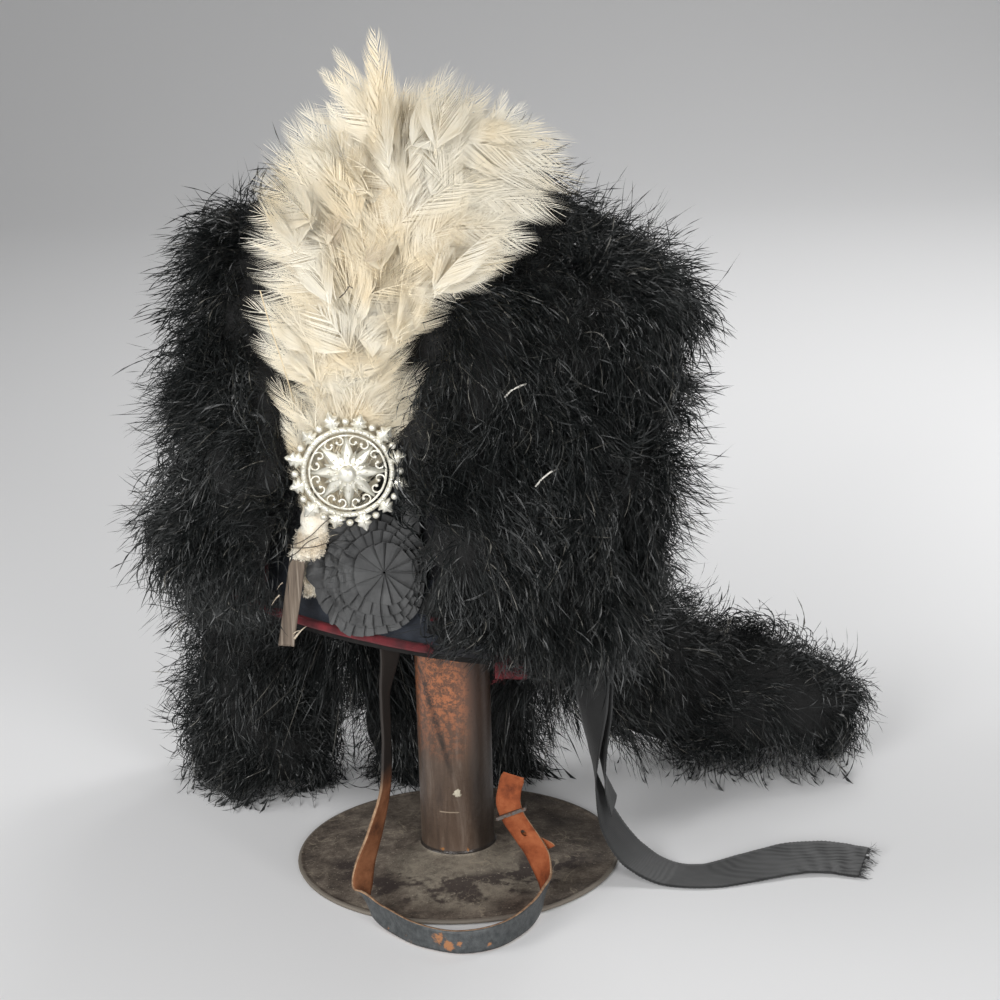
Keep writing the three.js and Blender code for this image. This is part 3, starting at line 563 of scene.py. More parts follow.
def leather_grain_material():
    """The strap's dyed side: blue-black, cracked across, worn through to tan in patches."""
    n = Nodes("leather_grain")
    colour = n.ramp(n.noise(300, 4), (0.3, (0.030, 0.034, 0.036)), (0.7, (0.080, 0.086, 0.088)))
    for *centre, size in zip(*WORN_THROUGH.values()):
        colour = n.mix(n.spot(centre, size, 1.4, 380), colour, (0.33, 0.145, 0.06))
    wear = n.ramp(n.noise(120, 6, 0.7), (0.66, 0.0), (0.70, 0.8))
    colour = n.mix(wear, colour, (0.33, 0.15, 0.07))
    n.bump(n.noise(1100, 5), 0.0003, 0.8)
    return n.set(Base_Color=colour, Roughness=0.45)


def leather_edge_material():
    n = Nodes("leather_edge")
    cut = n.ramp(n.noise(240, 5), (0.3, (0.17, 0.085, 0.045)), (0.7, (0.42, 0.27, 0.16)))
    # Painted shade: the edges darken towards the top, under the rim.
    colour = n.mix(n.rise(n.axis("Z"), 80, 104), cut, (0.024, 0.019, 0.016))
    n.bump(n.noise(1600, 4), 0.0003)
    return n.set(Base_Color=colour, Roughness=0.8)


def mottled_material(name, mottle, low, high, bump=None, **values):
    """One mottled colour: mottle is its noise's scale and detail, bump those and a distance."""
    n = Nodes(name)
    if bump:
        n.bump(n.noise(*bump[:2]), bump[2])
    return n.set(Base_Color=n.ramp(n.noise(*mottle), low, high), **values)


def trim_material(name, dark, light, roughness):
    """Small trim: a quill, a thread or a splinter."""
    look = (0.35, dark), (0.7, light), (1400, 4, 0.0002)
    return mottled_material(name, (600, 4), *look, Roughness=roughness)


def disc_colour(n):
    """The foot: brown-black paint, paler in a patchy spot in front of the tube, with bare
    blotches, curved scratches, specks and a painted highlight along the rolled rim.
    """
    front = n.rise(n.axis("Y"), 0, -20)
    radius = n.from_axis()
    dark, brown, pale = (0.034, 0.026, 0.022), (0.130, 0.104, 0.083), (0.29, 0.245, 0.195)
    paint = n.ramp(n.noise(40, 10, 0.85), (0.36, dark), (0.5, brown), (0.64, pale))
    patchy = n.ramp(n.noise(110, 9, 0.85), (0.38, 0.1), (0.58, 0.95))
    # Paler and patchy in a broad spot in front of the tube.
    pale_front_patch = n.both(n.spot((6, -46, 6), 58, 0.9, 30), patchy)
    colour = n.mix(pale_front_patch, paint, (0.30, 0.262, 0.205))
    blotches = n.ramp(n.noise(52, 6, 0.6), (0.48, 0.0), (0.55, 0.9))
    blotches = n.both(blotches, n.within(radius, 55, 84, 8), front)
    colour = n.mix(blotches, colour, (0.046, 0.034, 0.031))
    line_noise = n.noise(24, 3, 0.6, distortion=1.6)
    lines = n.ramp(line_noise, (0.484, 0.0), (0.497, 1.0), (0.503, 1.0), (0.516, 0.0))
    few = n.ramp(n.noise(21, 2), (0.47, 0.0), (0.60, 0.7))
    colour = n.mix(n.both(lines, few), colour, (0.36, 0.305, 0.23))
    specks = n.ramp(n.noise(620, 2), (0.66, 0.0), (0.71, 0.8))
    colour = n.mix(specks, colour, (0.40, 0.35, 0.28))
    # Painted highlight: a paler ring along the rolled rim.
    return n.mix(n.within(radius, 108.2, 112, 0.5), colour, (0.19, 0.165, 0.135))


def tube_colour(n):
    """The tube: brown lacquer streaked down, rusted copper above, with chips and a dark foot,
    painted shade down its +X side and a painted shadow line slanting across it.
    """
    x, z = n.axis("X"), n.axis("Z")
    streaks = n.noise(1.0, 7, 0.68, n.stretched((120, 120, 16)), 0.6)
    dark, brown, pale = (0.060, 0.041, 0.031), (0.104, 0.070, 0.050), (0.19, 0.145, 0.115)
    colour = n.ramp(streaks, (0.32, dark), (0.52, brown), (0.72, pale))
    upper = n.rise(z, 76, 124)
    colour = n.mix(upper, colour, (0.135, 0.068, 0.043))
    flecks = n.ramp(n.noise(230, 8, 0.85), (0.48, 0.0), (0.54, 1.0))
    # The rust fades out towards the +X side, where painted shade darkens the tube.
    rust = n.both(flecks, upper, n.rise(x, 12.3, 0.9))
    colour = n.mix(rust, colour, (0.44, 0.160, 0.070))
    pits = n.ramp(n.noise(430, 5, 0.7), (0.60, 0.0), (0.66, 0.8))
    colour = n.mix(n.both(pits, upper), colour, (0.05, 0.03, 0.024))
    # Painted shade: the tube's +X side darkens towards almost black.
    colour = n.mix(n.rise(x, 8, 15, 0.72), colour, (0.024, 0.019, 0.016))
    # Painted cast shadow: a dark line slanting across the tube's upper part.
    shadow_slant = n.within(n.math("ADD", x, n.math("MULTIPLY", z, 0.26)), 15, 16.6, 2.2)
    painted_shadow_line = n.both(shadow_slant, n.within(z, 80, 134, 16), n.ramp(flecks, (0.0, 0.85), (1.0, 0.55)))
    colour = n.mix(painted_shadow_line, colour, (0.030, 0.021, 0.017))
    colour = n.mix(n.spot((0.6, -25, 56.4), 4.4, 1.5, 420), colour, (0.66, 0.60, 0.47))
    crack = n.both(n.within(z, 42, 42.4, 0.4), n.within(x, -11, 1, 1))
    colour = n.mix(crack, colour, (0.34, 0.27, 0.20))
    colour = n.mix(n.within(z, 10, 13.4, 0.8), colour, (0.030, 0.023, 0.019))
    for centre in ((-10.6, -22.5, 15), (6.4, -24, 14.6)):
        colour = n.mix(n.spot(centre, 2.6, 1.8, 500), colour, (0.34, 0.145, 0.045))
    return colour


def iron_material():
    """Old painted sheet iron: a dull foot and a glossier tube."""
    n = Nodes("iron")
    on_tube = n.within(n.from_axis(), -5, 25.9, 0.3)
    colour = n.mix(on_tube, disc_colour(n), tube_colour(n))
    n.bump(n.noise(420, 5), 0.0004, 0.7)
    rough = n.ramp(on_tube, (0.0, 0.66), (1.0, 0.30))
    return n.set(Base_Color=colour, Metallic=0.15, Roughness=rough)


BLACK_FEATHER = black_feather_material()
FEATHER_GROUND = mottled_material(
    "feather_ground", (260, 3), (0.3, 0.003), (0.8, 0.009), (420, 4, 0.002), Roughness=0.9
)
CREAM_FEATHER = cream_feather_material("cream_feather", (0.93, 0.82, 0.61), (0.98, 0.93, 0.80))
STAINED_FEATHER = cream_feather_material("stained_feather", (0.60, 0.50, 0.36), (0.82, 0.73, 0.57))
# Painted shade: the hackle's inner mass is a darker cream than its feathers.
SHADED_CREAM_CORE = mottled_material(
    "shaded_cream_core", (60, 4), (0.3, (0.62, 0.52, 0.36)), (0.75, (0.78, 0.69, 0.53)), (380, 4, 0.002),
    Roughness=0.9,
)
FLEECE = mottled_material(
    "fleece", (70, 4), (0.32, (0.66, 0.55, 0.40)), (0.60, (0.93, 0.88, 0.76)), (900, 3, 0.0012),
    Roughness=0.95, Sheen_Weight=0.25,
)
BLACK_CLOTH = cloth_material("black_cloth", (0.008, 0.008, 0.01), (0.02, 0.02, 0.024))
NAVY_CLOTH = cloth_material("navy_cloth", (0.010, 0.013, 0.020), (0.026, 0.032, 0.045))
RED_CLOTH = cloth_material("red_cloth", (0.055, 0.005, 0.008), (0.165, 0.011, 0.017), 1100)
RIBBON_SILK = ribbon_material("ribbon_silk", (0.008, 0.0085, 0.009), (0.018, 0.019, 0.019))
ROSETTE_SILK = ribbon_material("rosette_silk", (0.024, 0.0245, 0.025), (0.080, 0.081, 0.081))
WHITE_METAL = white_metal_material()
WEATHERED_WOOD = wood_material()
LEATHER_LOOKS = leather_flesh_material(), leather_edge_material(), leather_grain_material()
BLACK_LEATHER = mottled_material(
    "black_leather", (200, 5), (0.3, 0.004), (0.75, (0.014, 0.012, 0.011)), (1200, 4, 0.0003),
    Roughness=0.8, Specular_IOR_Level=0.25,
)
STEEL_WIRE = mottled_material(
    "steel_wire", (500, 4), (0.45, (0.16, 0.15, 0.14)), (0.7, (0.14, 0.06, 0.03)),
    Metallic=0.8, Roughness=0.5,
)
DARK_THREAD = trim_material("dark_thread", (0.035, 0.028, 0.022), (0.09, 0.07, 0.05), 0.7)
QUILL = trim_material("quill", (0.66, 0.63, 0.56), (0.82, 0.80, 0.74), 0.5)
STRAW = trim_material("straw", (0.62, 0.50, 0.32), (0.78, 0.66, 0.46), 0.6)
SPLINTER_WOOD = trim_material("splinter_wood", (0.42, 0.34, 0.25), (0.66, 0.58, 0.46), 0.8)
IRON = iron_material()

# ---------------------------------------------------------------- shapes shared with the solids


def leaning_z(x, y, rise):
    """Height of a point that lies the given rise above the rim's leaning plane."""
    lean = 1 - smoothstep(rise, 0, RIM["level_at"])
    drop = RIM["to_back"] * (x - RIM["x"]) + RIM["to_far"] * (y - RIM["y"])
    return RIM["z"] + rise - lean * drop


def section_point(table, rise, angle, offset=0.0):
    row = at(table, "rise", rise)
    x = row["x"] + (row["length"] + offset) * np.cos(angle)
    y = row["y"] + (row["width"] + offset) * np.sin(angle)
    return stack(x, y, leaning_z(x, y, rise))


def crown_point(rise, angle, offset=0.0):
    point = section_point(CROWN, rise, angle, offset)
    point[..., 2] += offset * rise / CROWN["rise"][-1]
    return point


def in_clearing(points, margin=0.0):
    """How far points are inside the space kept clear for hackle, badge and rosette, from 0 to 1."""
    edge = at(CLEARING, "z", points[..., 2])
    inside = np.minimum(points[..., 0] - edge["left"], edge["right"] - points[..., 0]) + margin
    behind = 72 * smoothstep(points[..., 2], 395, 440)  # the feathers close up behind the hackle
    near_side = smoothstep(-points[..., 1] - behind, -6, 10)
    below_top = smoothstep(CLEARING["z"][-1] - points[..., 2], 0, 20)
    return smoothstep(inside, -9, 9) * near_side * below_top


def cover_point(rise, angle, offset=0.0):
    """The black feather body's surface."""
    crest = smoothstep(rise, 225, 305)
    point = section_point(COVER, rise, angle, offset)
    point[..., 2] += crest * offset
    return point


def tail_point(table, share, angle, offset=0.0):
    place = np.asarray(share) * (len(table["x"]) - 1)
    index = np.arange(len(table["x"]))
    column = {name: np.interp(place, index, table[name]) for name in table}
    ahead = {name: np.interp(place + 0.25, index, table[name]) for name in "xyz"}
    behind = {name: np.interp(place - 0.25, index, table[name]) for name in "xyz"}
    along = unit(stack(*(ahead[name] - behind[name] for name in "xyz")))
    through = np.zeros_like(along)
    through[..., 1] = 1
    through = unit(through - along * along[..., 1:2])
    across = np.cross(along, through)
    return (
        stack(column["x"], column["y"], column["z"])
        + across * ((column["across"] + offset) * np.cos(angle))[..., None]
        + through * ((column["through"] + offset) * np.sin(angle))[..., None]
    )


# ---------------------------------------------------------------- fur

PLACES_TRIED = 6  # for each place that spread_evenly() picks
BARBS_PER_WISP, WISP_SPREAD = 18, 5.5
BARB_REACH = 17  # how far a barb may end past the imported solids' box
BARB_WIDTH = 0.48


def surface_frame(surface, u, v, step_u, step_v):
    """Points of a surface with their steps along u and v, and their outward directions."""
    along_u = (surface(u + step_u, v) - surface(u - step_u, v)) / (2 * step_u)
    along_v = (surface(u, v + step_v) - surface(u, v - step_v)) / (2 * step_v)
    return surface(u, v), along_u, along_v


def spread_evenly(random, surface, u_range, count, step_u, weight=None):
    """count places on a surface, as likely on every square millimetre, or weighted."""
    many = PLACES_TRIED * count
    u = random.uniform(*u_range, many)
    v = random.uniform(0, TURN, many)
    point, along_u, along_v = surface_frame(surface, u, v, step_u, 0.01)
    area = np.linalg.norm(np.cross(along_u, along_v), axis=-1)
    if weight is not None:
        area = area * weight(point)
    chosen = random.choice(many, count, replace=False, p=area / area.sum())
    return u[chosen], v[chosen]


def fur(random, surface, u_range, step_u, count, tip_way, length, lift, weight=None, curly=0.0):
    """Barbs that grow from a surface in wisps, as strands() takes them.

    tip_way is +1 or -1: the way along u that the wisps lie. lift is how much they stand up.
    """
    wisps = count // BARBS_PER_WISP
    u, v = spread_evenly(random, surface, u_range, wisps, step_u, weight)
    spot = surface(u, v)
    swirl, turned_swirl = (
        stack(*(lumps(spot, 50, seed + axis) for axis in range(3))) for seed in (101, 111)
    )
    lean = 0.7 * swirl + random.normal(0, 0.4, (wisps, 3))
    turn_off = 0.9 * turned_swirl + random.normal(0, 0.5, (wisps, 3))
    stature = random.uniform(0.7, 1.25, wisps)
    owner = random.integers(0, wisps, count)
    _, along_u, along_v = surface_frame(surface, u[owner], v[owner], step_u, 0.01)
    size_u = np.maximum(np.linalg.norm(along_u, axis=-1), 1e-6)
    size_v = np.maximum(np.linalg.norm(along_v, axis=-1), 8)
    root_u = np.clip(u[owner] + random.normal(0, WISP_SPREAD, count) / size_u, *u_range)
    root_v = v[owner] + random.normal(0, WISP_SPREAD, count) / size_v
    root, along_u, along_v = surface_frame(surface, root_u, root_v, step_u, 0.01)
    outward = unit(np.cross(along_v, along_u)) * (-tip_way)
    down = unit(along_u) * tip_way
    gravity = np.array([0, 0, -0.5])
    stray = random.normal(0, 0.2 + 0.3 * curly, (count, 3))
    start = outward * lift + down * 0.3 + lean[owner] + stray
    end = outward * 0.1 + down * 0.7 + turn_off[owner] * (1.2 + curly) + gravity + stray * 1.6
    lengths = length * stature[owner] * random.uniform(0.6, 1.15, count)
    return hairs(root, start, end, lengths, outward)


def strand_points(barbs, random, width, joints):
    """Narrow strips with edges that take turns, curled as they go, each ending in a point."""
    root, start, end = barbs["root"], barbs["start"], barbs["end"]
    length = barbs["length"][:, None, None]
    t = np.linspace(0, 1, joints)[None, :, None]
    spine = root[:, None] + length * (start[:, None] * t + (end - start)[:, None] * t * t / 2)
    each = (len(root), 1, 1)
    curl_way = unit(random.normal(size=root.shape))[:, None]
    curl = curl_way * np.sin(t * random.uniform(2.6, 4.8, each))
    spine = spine + curl * length * random.uniform(0.03, 0.12, each)
    spine[..., 2] = np.maximum(spine[..., 2], 0.5)
    face = unit(barbs["outward"] + random.normal(0, 0.8, root.shape))[:, None]
    side = unit(np.cross(unit(np.gradient(spine, axis=1)), face))
    half = (width * random.uniform(0.7, 1.3, len(root)) / 2)[:, None, None]
    edge = np.append(np.linspace(1, 0.6, joints - 1), 0) * np.where(np.arange(joints) % 2, 1, -1)
    return spine + side * half * edge[None, :, None]


def strands(name, barbs, random, width, material, slot, joints=8):
    """A piece made of all the barbs, as zig-zag strips of triangles."""
    barbs = within_reach(barbs)
    points = strand_points(barbs, random, width, joints)
    start = joints * np.arange(len(points))[:, None]
    faces = [start + first + ([1, 0, 2] if first % 2 else [0, 1, 2]) for first in range(joints - 2)]
    return piece(name, points, faces, material, slot, smooth=False)


def chosen(barbs, mask):
    return {key: value[mask] for key, value in barbs.items()}


def barb_tips(barbs):
    return barbs["root"] + barbs["length"][:, None] * (barbs["start"] + barbs["end"]) / 2


def within_reach(barbs):
    """The barbs that don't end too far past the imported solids' box."""
    tip = barb_tips(barbs)
    low, high = (np.array(corner) / MM for corner in CAD_BOX)
    return chosen(barbs, ((tip > low - BARB_REACH) & (tip < high + BARB_REACH)).all(-1))


# ---------------------------------------------------------------- the black feather body

COVER_DEPTH = 17  # from the solid's surface to the barbs' roots
COVER_MIDDLE = (-10, 0, 300)
BACK_SHOULDER_DROP = 28
COVER_COUNT = 54000
LOOSE_COUNT = 5000
# How far the feathers of the near side hang below the rim.
HANGS_BELOW_RIM = rows(
    "x depth", (-130, 30), (-105, 8), (-30, 2), (20, 2), (48, 5), (70, 18), (90, 25)
)
# Two short pale quills that show among the black barbs.
BARE_QUILLS = (
    [(40, -141, 362), (44, -142, 366.5), (49, -142, 369), (53, -141, 370)],
    [(57, -139, 305), (61, -140, 310), (66, -140, 314), (71, -139, 316)],
)


def cover_ground(rise, angle, offset=0.0):
    """The ground that the black barbs grow from: lumpy, and close to the crown in the clearing."""
    outer = cover_point(rise, angle, -COVER_DEPTH)
    sloping = smoothstep(outer[..., 0], 50, 110) * smoothstep(outer[..., 2], 380, 455)
    outer = cover_point(rise, angle, -COVER_DEPTH - BACK_SHOULDER_DROP * sloping)
    outer = outer + unit(outer - COVER_MIDDLE) * (7.5 * lumps(outer, 45, 3))[..., None]
    low = np.minimum(rise, CROWN["rise"][-1] - 1)
    inner = crown_point(low, angle, 5)
    share = in_clearing(outer, 6)[..., None]
    return outer * (1 - share) + inner * share


WINDOW = {"left": -107, "right": -10, "top": 297}


def open_window(points):
    """True for the part of the ground that is cut away where the band and the rosette show."""
    x, y, z = points.T
    return (y < 0) & (z < WINDOW["top"]) & (x > WINDOW["left"]) & (x < WINDOW["right"])


def ground_piece(name, points, faces, node):
    return piece(name, points, faces, FEATHER_GROUND, "black_feather", [node])


def black_strands(name, barbs, random, joints=8, width=BARB_WIDTH):
    return strands(name, barbs, random, width, BLACK_FEATHER, "black_feather", joints)


def add_cover_ground():
    rises = np.concatenate([np.linspace(8, 282, 46), np.linspace(288, 304.6, 8)])
    angles = turns(96)
    rise, angle = grid(rises, angles)
    points = cover_ground(rise, angle).reshape(-1, 3)
    quads, _, lid = tube_faces(len(rises), len(angles))
    faces = [quads[~open_window(points[quads].mean(1))], lid]
    ground = ground_piece("feather_ground", points, faces, "feather_cover")
    shell = ground.modifiers.new("thickness", "SOLIDIFY")
    shell.thickness = 1.2 * MM
    shell.offset = -1


def add_cover_fur():
    random = np.random.default_rng(11)
    rises = (9, 304)

    def density(point):
        return (1 - in_clearing(point, -4)) * (1 + 0.35 * smoothstep(-point[..., 1], -40, 60))

    def clear(barbs, spared):
        """The barbs that leave the clearing and the band below the rim free, and a few strays."""
        tip = barb_tips(barbs)
        keep = in_clearing(tip, 3) < random.uniform(0.1, 1.0, len(tip))
        keep |= random.random(len(tip)) < spared
        x, y, z = tip.T
        below_rim = leaning_z(x, y, 0) - z
        most = at(HANGS_BELOW_RIM, "x", x)["depth"] * random.uniform(0.3, 1.3, len(x))
        keep &= (y > 0) | (below_rim < most)
        return chosen(barbs, keep & (in_clearing(barbs["root"]) < 0.6))

    barbs = clear(fur(random, cover_ground, rises, 0.4, COVER_COUNT, -1, 45, 1.0, density), 0.04)
    height = barbs["root"][:, 2]
    middle = np.quantile(height, 1 / 2)
    for name, part in (("lower", height < middle), ("upper", height >= middle)):
        black_strands(f"cover_feathers_{name}", chosen(barbs, part), random)
    loose = fur(random, cover_ground, rises, 0.4, LOOSE_COUNT, -1, 50, 1.1, density, 1.0)
    black_strands("cover_feathers_loose", clear(loose, 0.1), random, 9, 0.85 * BARB_WIDTH)
    for number, line in enumerate(BARE_QUILLS):
        piece(f"cover_bare_quill_{number + 1}", *tube_along(line, 0.6), QUILL, "cream_feather")


# Where the far side's fringe is longer: behind the post and behind the ribbons.
LONGER_FRINGE = rows("turn spread most", (105, 11, 72), (50, 12, 60))


def add_far_fringe():
    """Long feathers that hang under the far side, between the tails."""
    random = np.random.default_rng(17)
    count, wisps = 4200, 260
    wisp = random.integers(0, wisps, count)
    turn = random.uniform(22, 168, wisps)
    turn[:90] = random.normal(105, 5, 90)
    turn[90:140] = random.normal(50, 6, 50)
    turn = turn[wisp] + random.normal(0, 2.2, count)
    longer = sum(
        most * np.exp(-(((turn - middle) / spread) ** 2))
        for middle, spread, most in zip(*LONGER_FRINGE.values())
    )
    rise = random.uniform(9, 26, count)
    turn = np.radians(turn)
    root = cover_ground(rise, turn)
    outward = unit(stack(np.cos(turn), np.sin(turn), 0))
    lean = random.normal(0, 0.2, (wisps, 3))[wisp]
    stray = random.normal(0, 0.10, (count, 3))
    start = outward * 0.2 + lean + stray + [0, 0, -0.9]
    end = outward * -0.12 + lean * 2 + stray * 3 + [0, 0, -0.9]
    length = (random.uniform(45, 82, wisps)[wisp] + longer) * random.uniform(0.7, 1.1, count)
    fringe = hairs(root, start, end, length, outward)
    black_strands("cover_feathers_hanging", fringe, random, 9)


TAIL_DEPTH, TAIL_COUNT = 12.0, 9000
TAIL_END = (0.93, 1.0)  # the share of a tail that carries the short barbs of its end
FULLER_IN_FRONT = {"tail_front": 0, "tail_middle": 9, "tail_back": 0}  # millimetres


def add_tail(name, seed, count):
    table = TAILS[name]
    random = np.random.default_rng(seed)

    def ground(share, angle):
        fuller = FULLER_IN_FRONT[name] * smoothstep(-np.cos(angle), 0, 1)
        point = tail_point(table, share, angle, fuller - TAIL_DEPTH)
        point = point + unit(point - point.mean()) * (4 * lumps(point, 40, seed))[..., None]
        point[..., 2] = np.maximum(point[..., 2], 1.2)
        return point

    ups, around = 40, 48
    core = ground(*grid(np.linspace(0, 1, ups), turns(around)))
    ground_piece(f"{name}_ground", core, tube_faces(ups, around), name)
    barbs = fur(random, ground, (0.0, 1.0), 0.004, count, 1, 40, 0.85)
    ends = fur(random, ground, TAIL_END, 0.004, count // 9, 1, 30, 0.25)
    barbs = {key: np.concatenate([barbs[key], ends[key]]) for key in barbs}
    black_strands(f"{name}_feathers", barbs, random)
    loose = fur(random, ground, (0.0, 1.0), 0.004, count // 8, 1, 42, 0.9, None, 1.0)
    black_strands(f"{name}_loose", loose, random, 9)


# ---------------------------------------------------------------- the hackle


def add_plume_core():
    heights = np.linspace(PLUME["z"][0], PLUME["z"][-1] - 14, 40)
    z, angle = grid(heights, turns(48))
    row = at(PLUME, "z", z)
    narrowing = 0.64 - 0.25 * smoothstep(z, 470, 535)
    x = row["x"] + row["width"] * narrowing * np.cos(angle)
    y = row["y"] + 8 + row["depth"] * 0.3 * np.sin(angle)
    points = stack(x, y, z)
    points[..., 1] += 1.2 * lumps(points, 22, 5)
    piece("plume_core", points, tube_faces(40, 48), SHADED_CREAM_CORE, "cream_feather", ["plume"])


# How far the hackle's feathers lean outwards at its edges, in degrees.
FAN = rows(
    "z left right", (290, 16, 30), (380, 50, 62), (430, 70, 92), (500, 52, 84), (560, 30, 30)
)


def fan_way(x, z, share):
    """Direction of a hackle feather in the plane of the fan, at a share of its length."""
    row = at(PLUME, "z", z)
    aside = np.clip((x - row["x"]) / row["width"], -1.15, 1.15)
    spread = at(FAN, "z", z)
    return plane_way(aside * np.where(aside > 0, spread["right"], spread["left"]), share)


def plane_way(turn, share=1.0):
    """Direction in the plane of the fan, from degrees off upright and a share of them."""
    turn = np.radians(turn) * share
    return stack(np.sin(turn), 0, np.cos(turn))


GOLDEN_RATIO = 0.618034  # its multiples spread the feathers evenly across the hackle
LOWEST_TIP, TIPS_RANGE = 306, 250


def front_limit(z, foot, low):
    """How far forward a feather may come: little above the badge, more further up."""
    return foot - 60 * smoothstep(z, low, 420)


def body_feathers(random, count):
    """Tips, first and last ways and sizes of the feathers that fill the hackle."""
    number = np.arange(count)
    z = LOWEST_TIP + TIPS_RANGE * ((number + 0.5) / max(count, 1)) ** 0.85
    aside = 2 * np.mod(number * GOLDEN_RATIO, 1) - 1 + random.uniform(-0.08, 0.08, count)
    aside = np.sign(aside) * np.clip(np.abs(aside), 0, 1) ** 0.8
    back = (random.random(count) < 0.24) & (z > 440)
    facing = np.where(back, 1.0, -1.0)
    row = at(PLUME, "z", z)
    spread = at(PLUME_SPREAD, "z", z)
    bulge = np.sqrt(1 - np.minimum(aside**2, 1))
    x = (spread["left"] * (1 - aside) + spread["right"] * (1 + aside)) / 2
    y = row["y"] + facing * row["depth"] * (bulge + random.uniform(-0.2, 0.25, count))
    upper = smoothstep(z, 300, 430)
    length = (38 + 28 * upper) * random.uniform(0.8, 1.2, count)
    half_width = (12.0 + 3.5 * upper) * random.uniform(0.8, 1.15, count)
    stray = random.normal(0, 0.15, (count, 3))
    outward = stack(0, facing, 0)
    curl = (random.uniform(0.2, 0.9, count) * smoothstep(z, 320, 400))[:, None]
    start = unit(fan_way(x, z, 0.55) + outward * 0.9 + stray)
    end = unit(fan_way(x, z, 1.12) + outward * curl + stray * 2.2)
    return stack(x, y, z), start, end, outward, length, half_width


def outline_feathers(random, tips, setbacks, forward):
    """The same of the feathers in a table of tips, with more of them set back behind each tip."""
    tips = {name: np.tile(column, 1 + len(setbacks)) for name, column in tips.items()}
    back_by = np.repeat((0, *setbacks), len(tips["x"]) // (1 + len(setbacks)))
    tips["turn"] = tips["turn"] + random.normal(0, 0.6, len(back_by)) * back_by
    tips["x"] = tips["x"] - back_by * np.sin(np.radians(tips["turn"]))
    tips["z"] = tips["z"] - back_by * np.cos(np.radians(tips["turn"]))
    edge = at(PLUME, "z", tips["z"])
    side = np.clip((tips["x"] - edge["x"]) / edge["width"], -1, 1)
    lobe = smoothstep(tips["x"], -40, -12) * smoothstep(-tips["z"], -398, -382)
    y = edge["y"] - edge["depth"] * np.sqrt(1 - side**2) * 0.8 - forward - 14 * lobe
    stray = random.normal(0, 0.05, (len(side), 3))
    start = unit(plane_way(tips["turn"] - tips["bend"]) + [0, -1.0, 0] + stray)
    end = unit(plane_way(tips["turn"] + 0.35 * tips["bend"]) + stray)
    outward = np.tile([0.0, -1.0, 0.0], (len(side), 1))
    return stack(tips["x"], y, tips["z"]), start, end, outward, tips["length"], tips["width"] / 2


def feather_layout(random, count, tips, setbacks=(), forward=0.0):
    """Roots, ways and sizes of the hackle's feathers, set out by where their tips lie."""
    both = zip(body_feathers(random, count), outline_feathers(random, tips, setbacks, forward))
    tip, start, end, outward, length, half_width = (np.concatenate(pair) for pair in both)
    tip[:, 1] = np.maximum(tip[:, 1], front_limit(tip[:, 2], -119, 335))
    root = tip - length[:, None] * (start + end) / 2
    root[:, 1] = np.maximum(root[:, 1], front_limit(root[:, 2], -110, 345))
    outward = unit(outward + random.normal(0, 0.2, root.shape))
    foot = at(PLUME, "z", root[:, 2])
    held = np.abs(root[:, 0] - foot["x"]) < 0.9 * foot["width"]
    held |= np.arange(len(root)) >= count
    return [part[held] for part in (root, start, end, outward, length, half_width)]


def plume_outward(points, backwards):
    """The soft outward way of the hackle's mass: forwards or backwards, less so at its edges."""
    row = at(PLUME, "z", points[..., 2])
    aside = np.clip((points[..., 0] - row["x"]) / row["width"], -1.3, 1.3)
    lifted = smoothstep(points[..., 2], 440, 580)
    return unit(stack(0.45 * aside, np.where(backwards, 1.0, -1.0), 0.15 + 0.35 * lifted))


def shaft_point(layout, t):
    """Points and directions along every feather's shaft."""
    root, start, end, _, length, _ = layout
    t = t[..., None]
    bent = (end - start)[:, None]
    point = root[:, None] + length[:, None, None] * (start[:, None] * t + bent * t**2 / 2)
    return point, unit(start[:, None] + bent * t)


def vane_outline(reach_to):
    """A feather's half width at shares of its length, as a share of the widest."""
    rounding = np.clip(1 - np.clip((reach_to - 0.62) / 0.40, 0, 1) ** 2.6, 0.001, 1) ** 0.55
    return np.minimum(reach_to / 0.42, 1) ** 1.1 * rounding


FORK = {"foot": 27, "tip": 14, "stray": 2.5}  # a barb's angle off the shaft, in degrees


def vane(random, layout, hand, barbs):
    """One side of every feather: soft barbs that bend forward to a rounded outline."""
    _, _, _, outward, length, half_width = layout
    count = len(length)
    clump = np.cumsum(random.uniform(0.0, 0.5, (count, barbs)), 1)
    reach_to = np.tile(np.linspace(0.1, 1, barbs), (count, 1))
    spread = half_width[:, None] * vane_outline(reach_to)
    spread = spread * (1 + 0.05 * np.sin(clump * 1.7) + random.normal(0, 0.07, (count, barbs)))
    fork = FORK["foot"] + (FORK["tip"] - FORK["foot"]) * reach_to
    fork = np.radians(fork + random.normal(0, FORK["stray"], (count, 1)))
    t = np.clip(reach_to - spread / np.tan(fork) / length[:, None], 0.015, 0.955)
    root, tangent = shaft_point(layout, t)
    ragged = 0.004 * np.sin(clump) + random.normal(0, 0.0035, (count, barbs))
    far, far_tangent = shaft_point(layout, reach_to + ragged)
    side = unit(np.cross(far_tangent, outward[:, None])) * hand
    face = unit(np.cross(side, far_tangent)) * hand
    droop = face * (-random.uniform(0.0, 0.5, (count, 1, 1)) * spread[..., None])
    droop = droop + face * (0.3 * np.sin(clump * 0.7))[..., None]
    droop = droop + random.normal(0, 0.12, (count, barbs, 3))
    tip = far + side * spread[..., None]
    bend = root * 0.58 + tip * 0.42 + side * (0.30 * spread[..., None])
    tip = tip + droop
    s = np.array([0, 0, 0.62, 0.62, 1.0])[:, None]
    root, bend, tip = (part[:, :, None] for part in (root, bend, tip))
    points = root * (1 - s) ** 2 + bend * 2 * s * (1 - s) + tip * s**2
    edge = np.array([-1, 1, -1, 1, 0])[:, None] * -hand
    broad = (tangent * (0.64 * length[:, None] / barbs)[..., None])[:, :, None] * edge
    return (points + broad).reshape(-1, 5, 3)


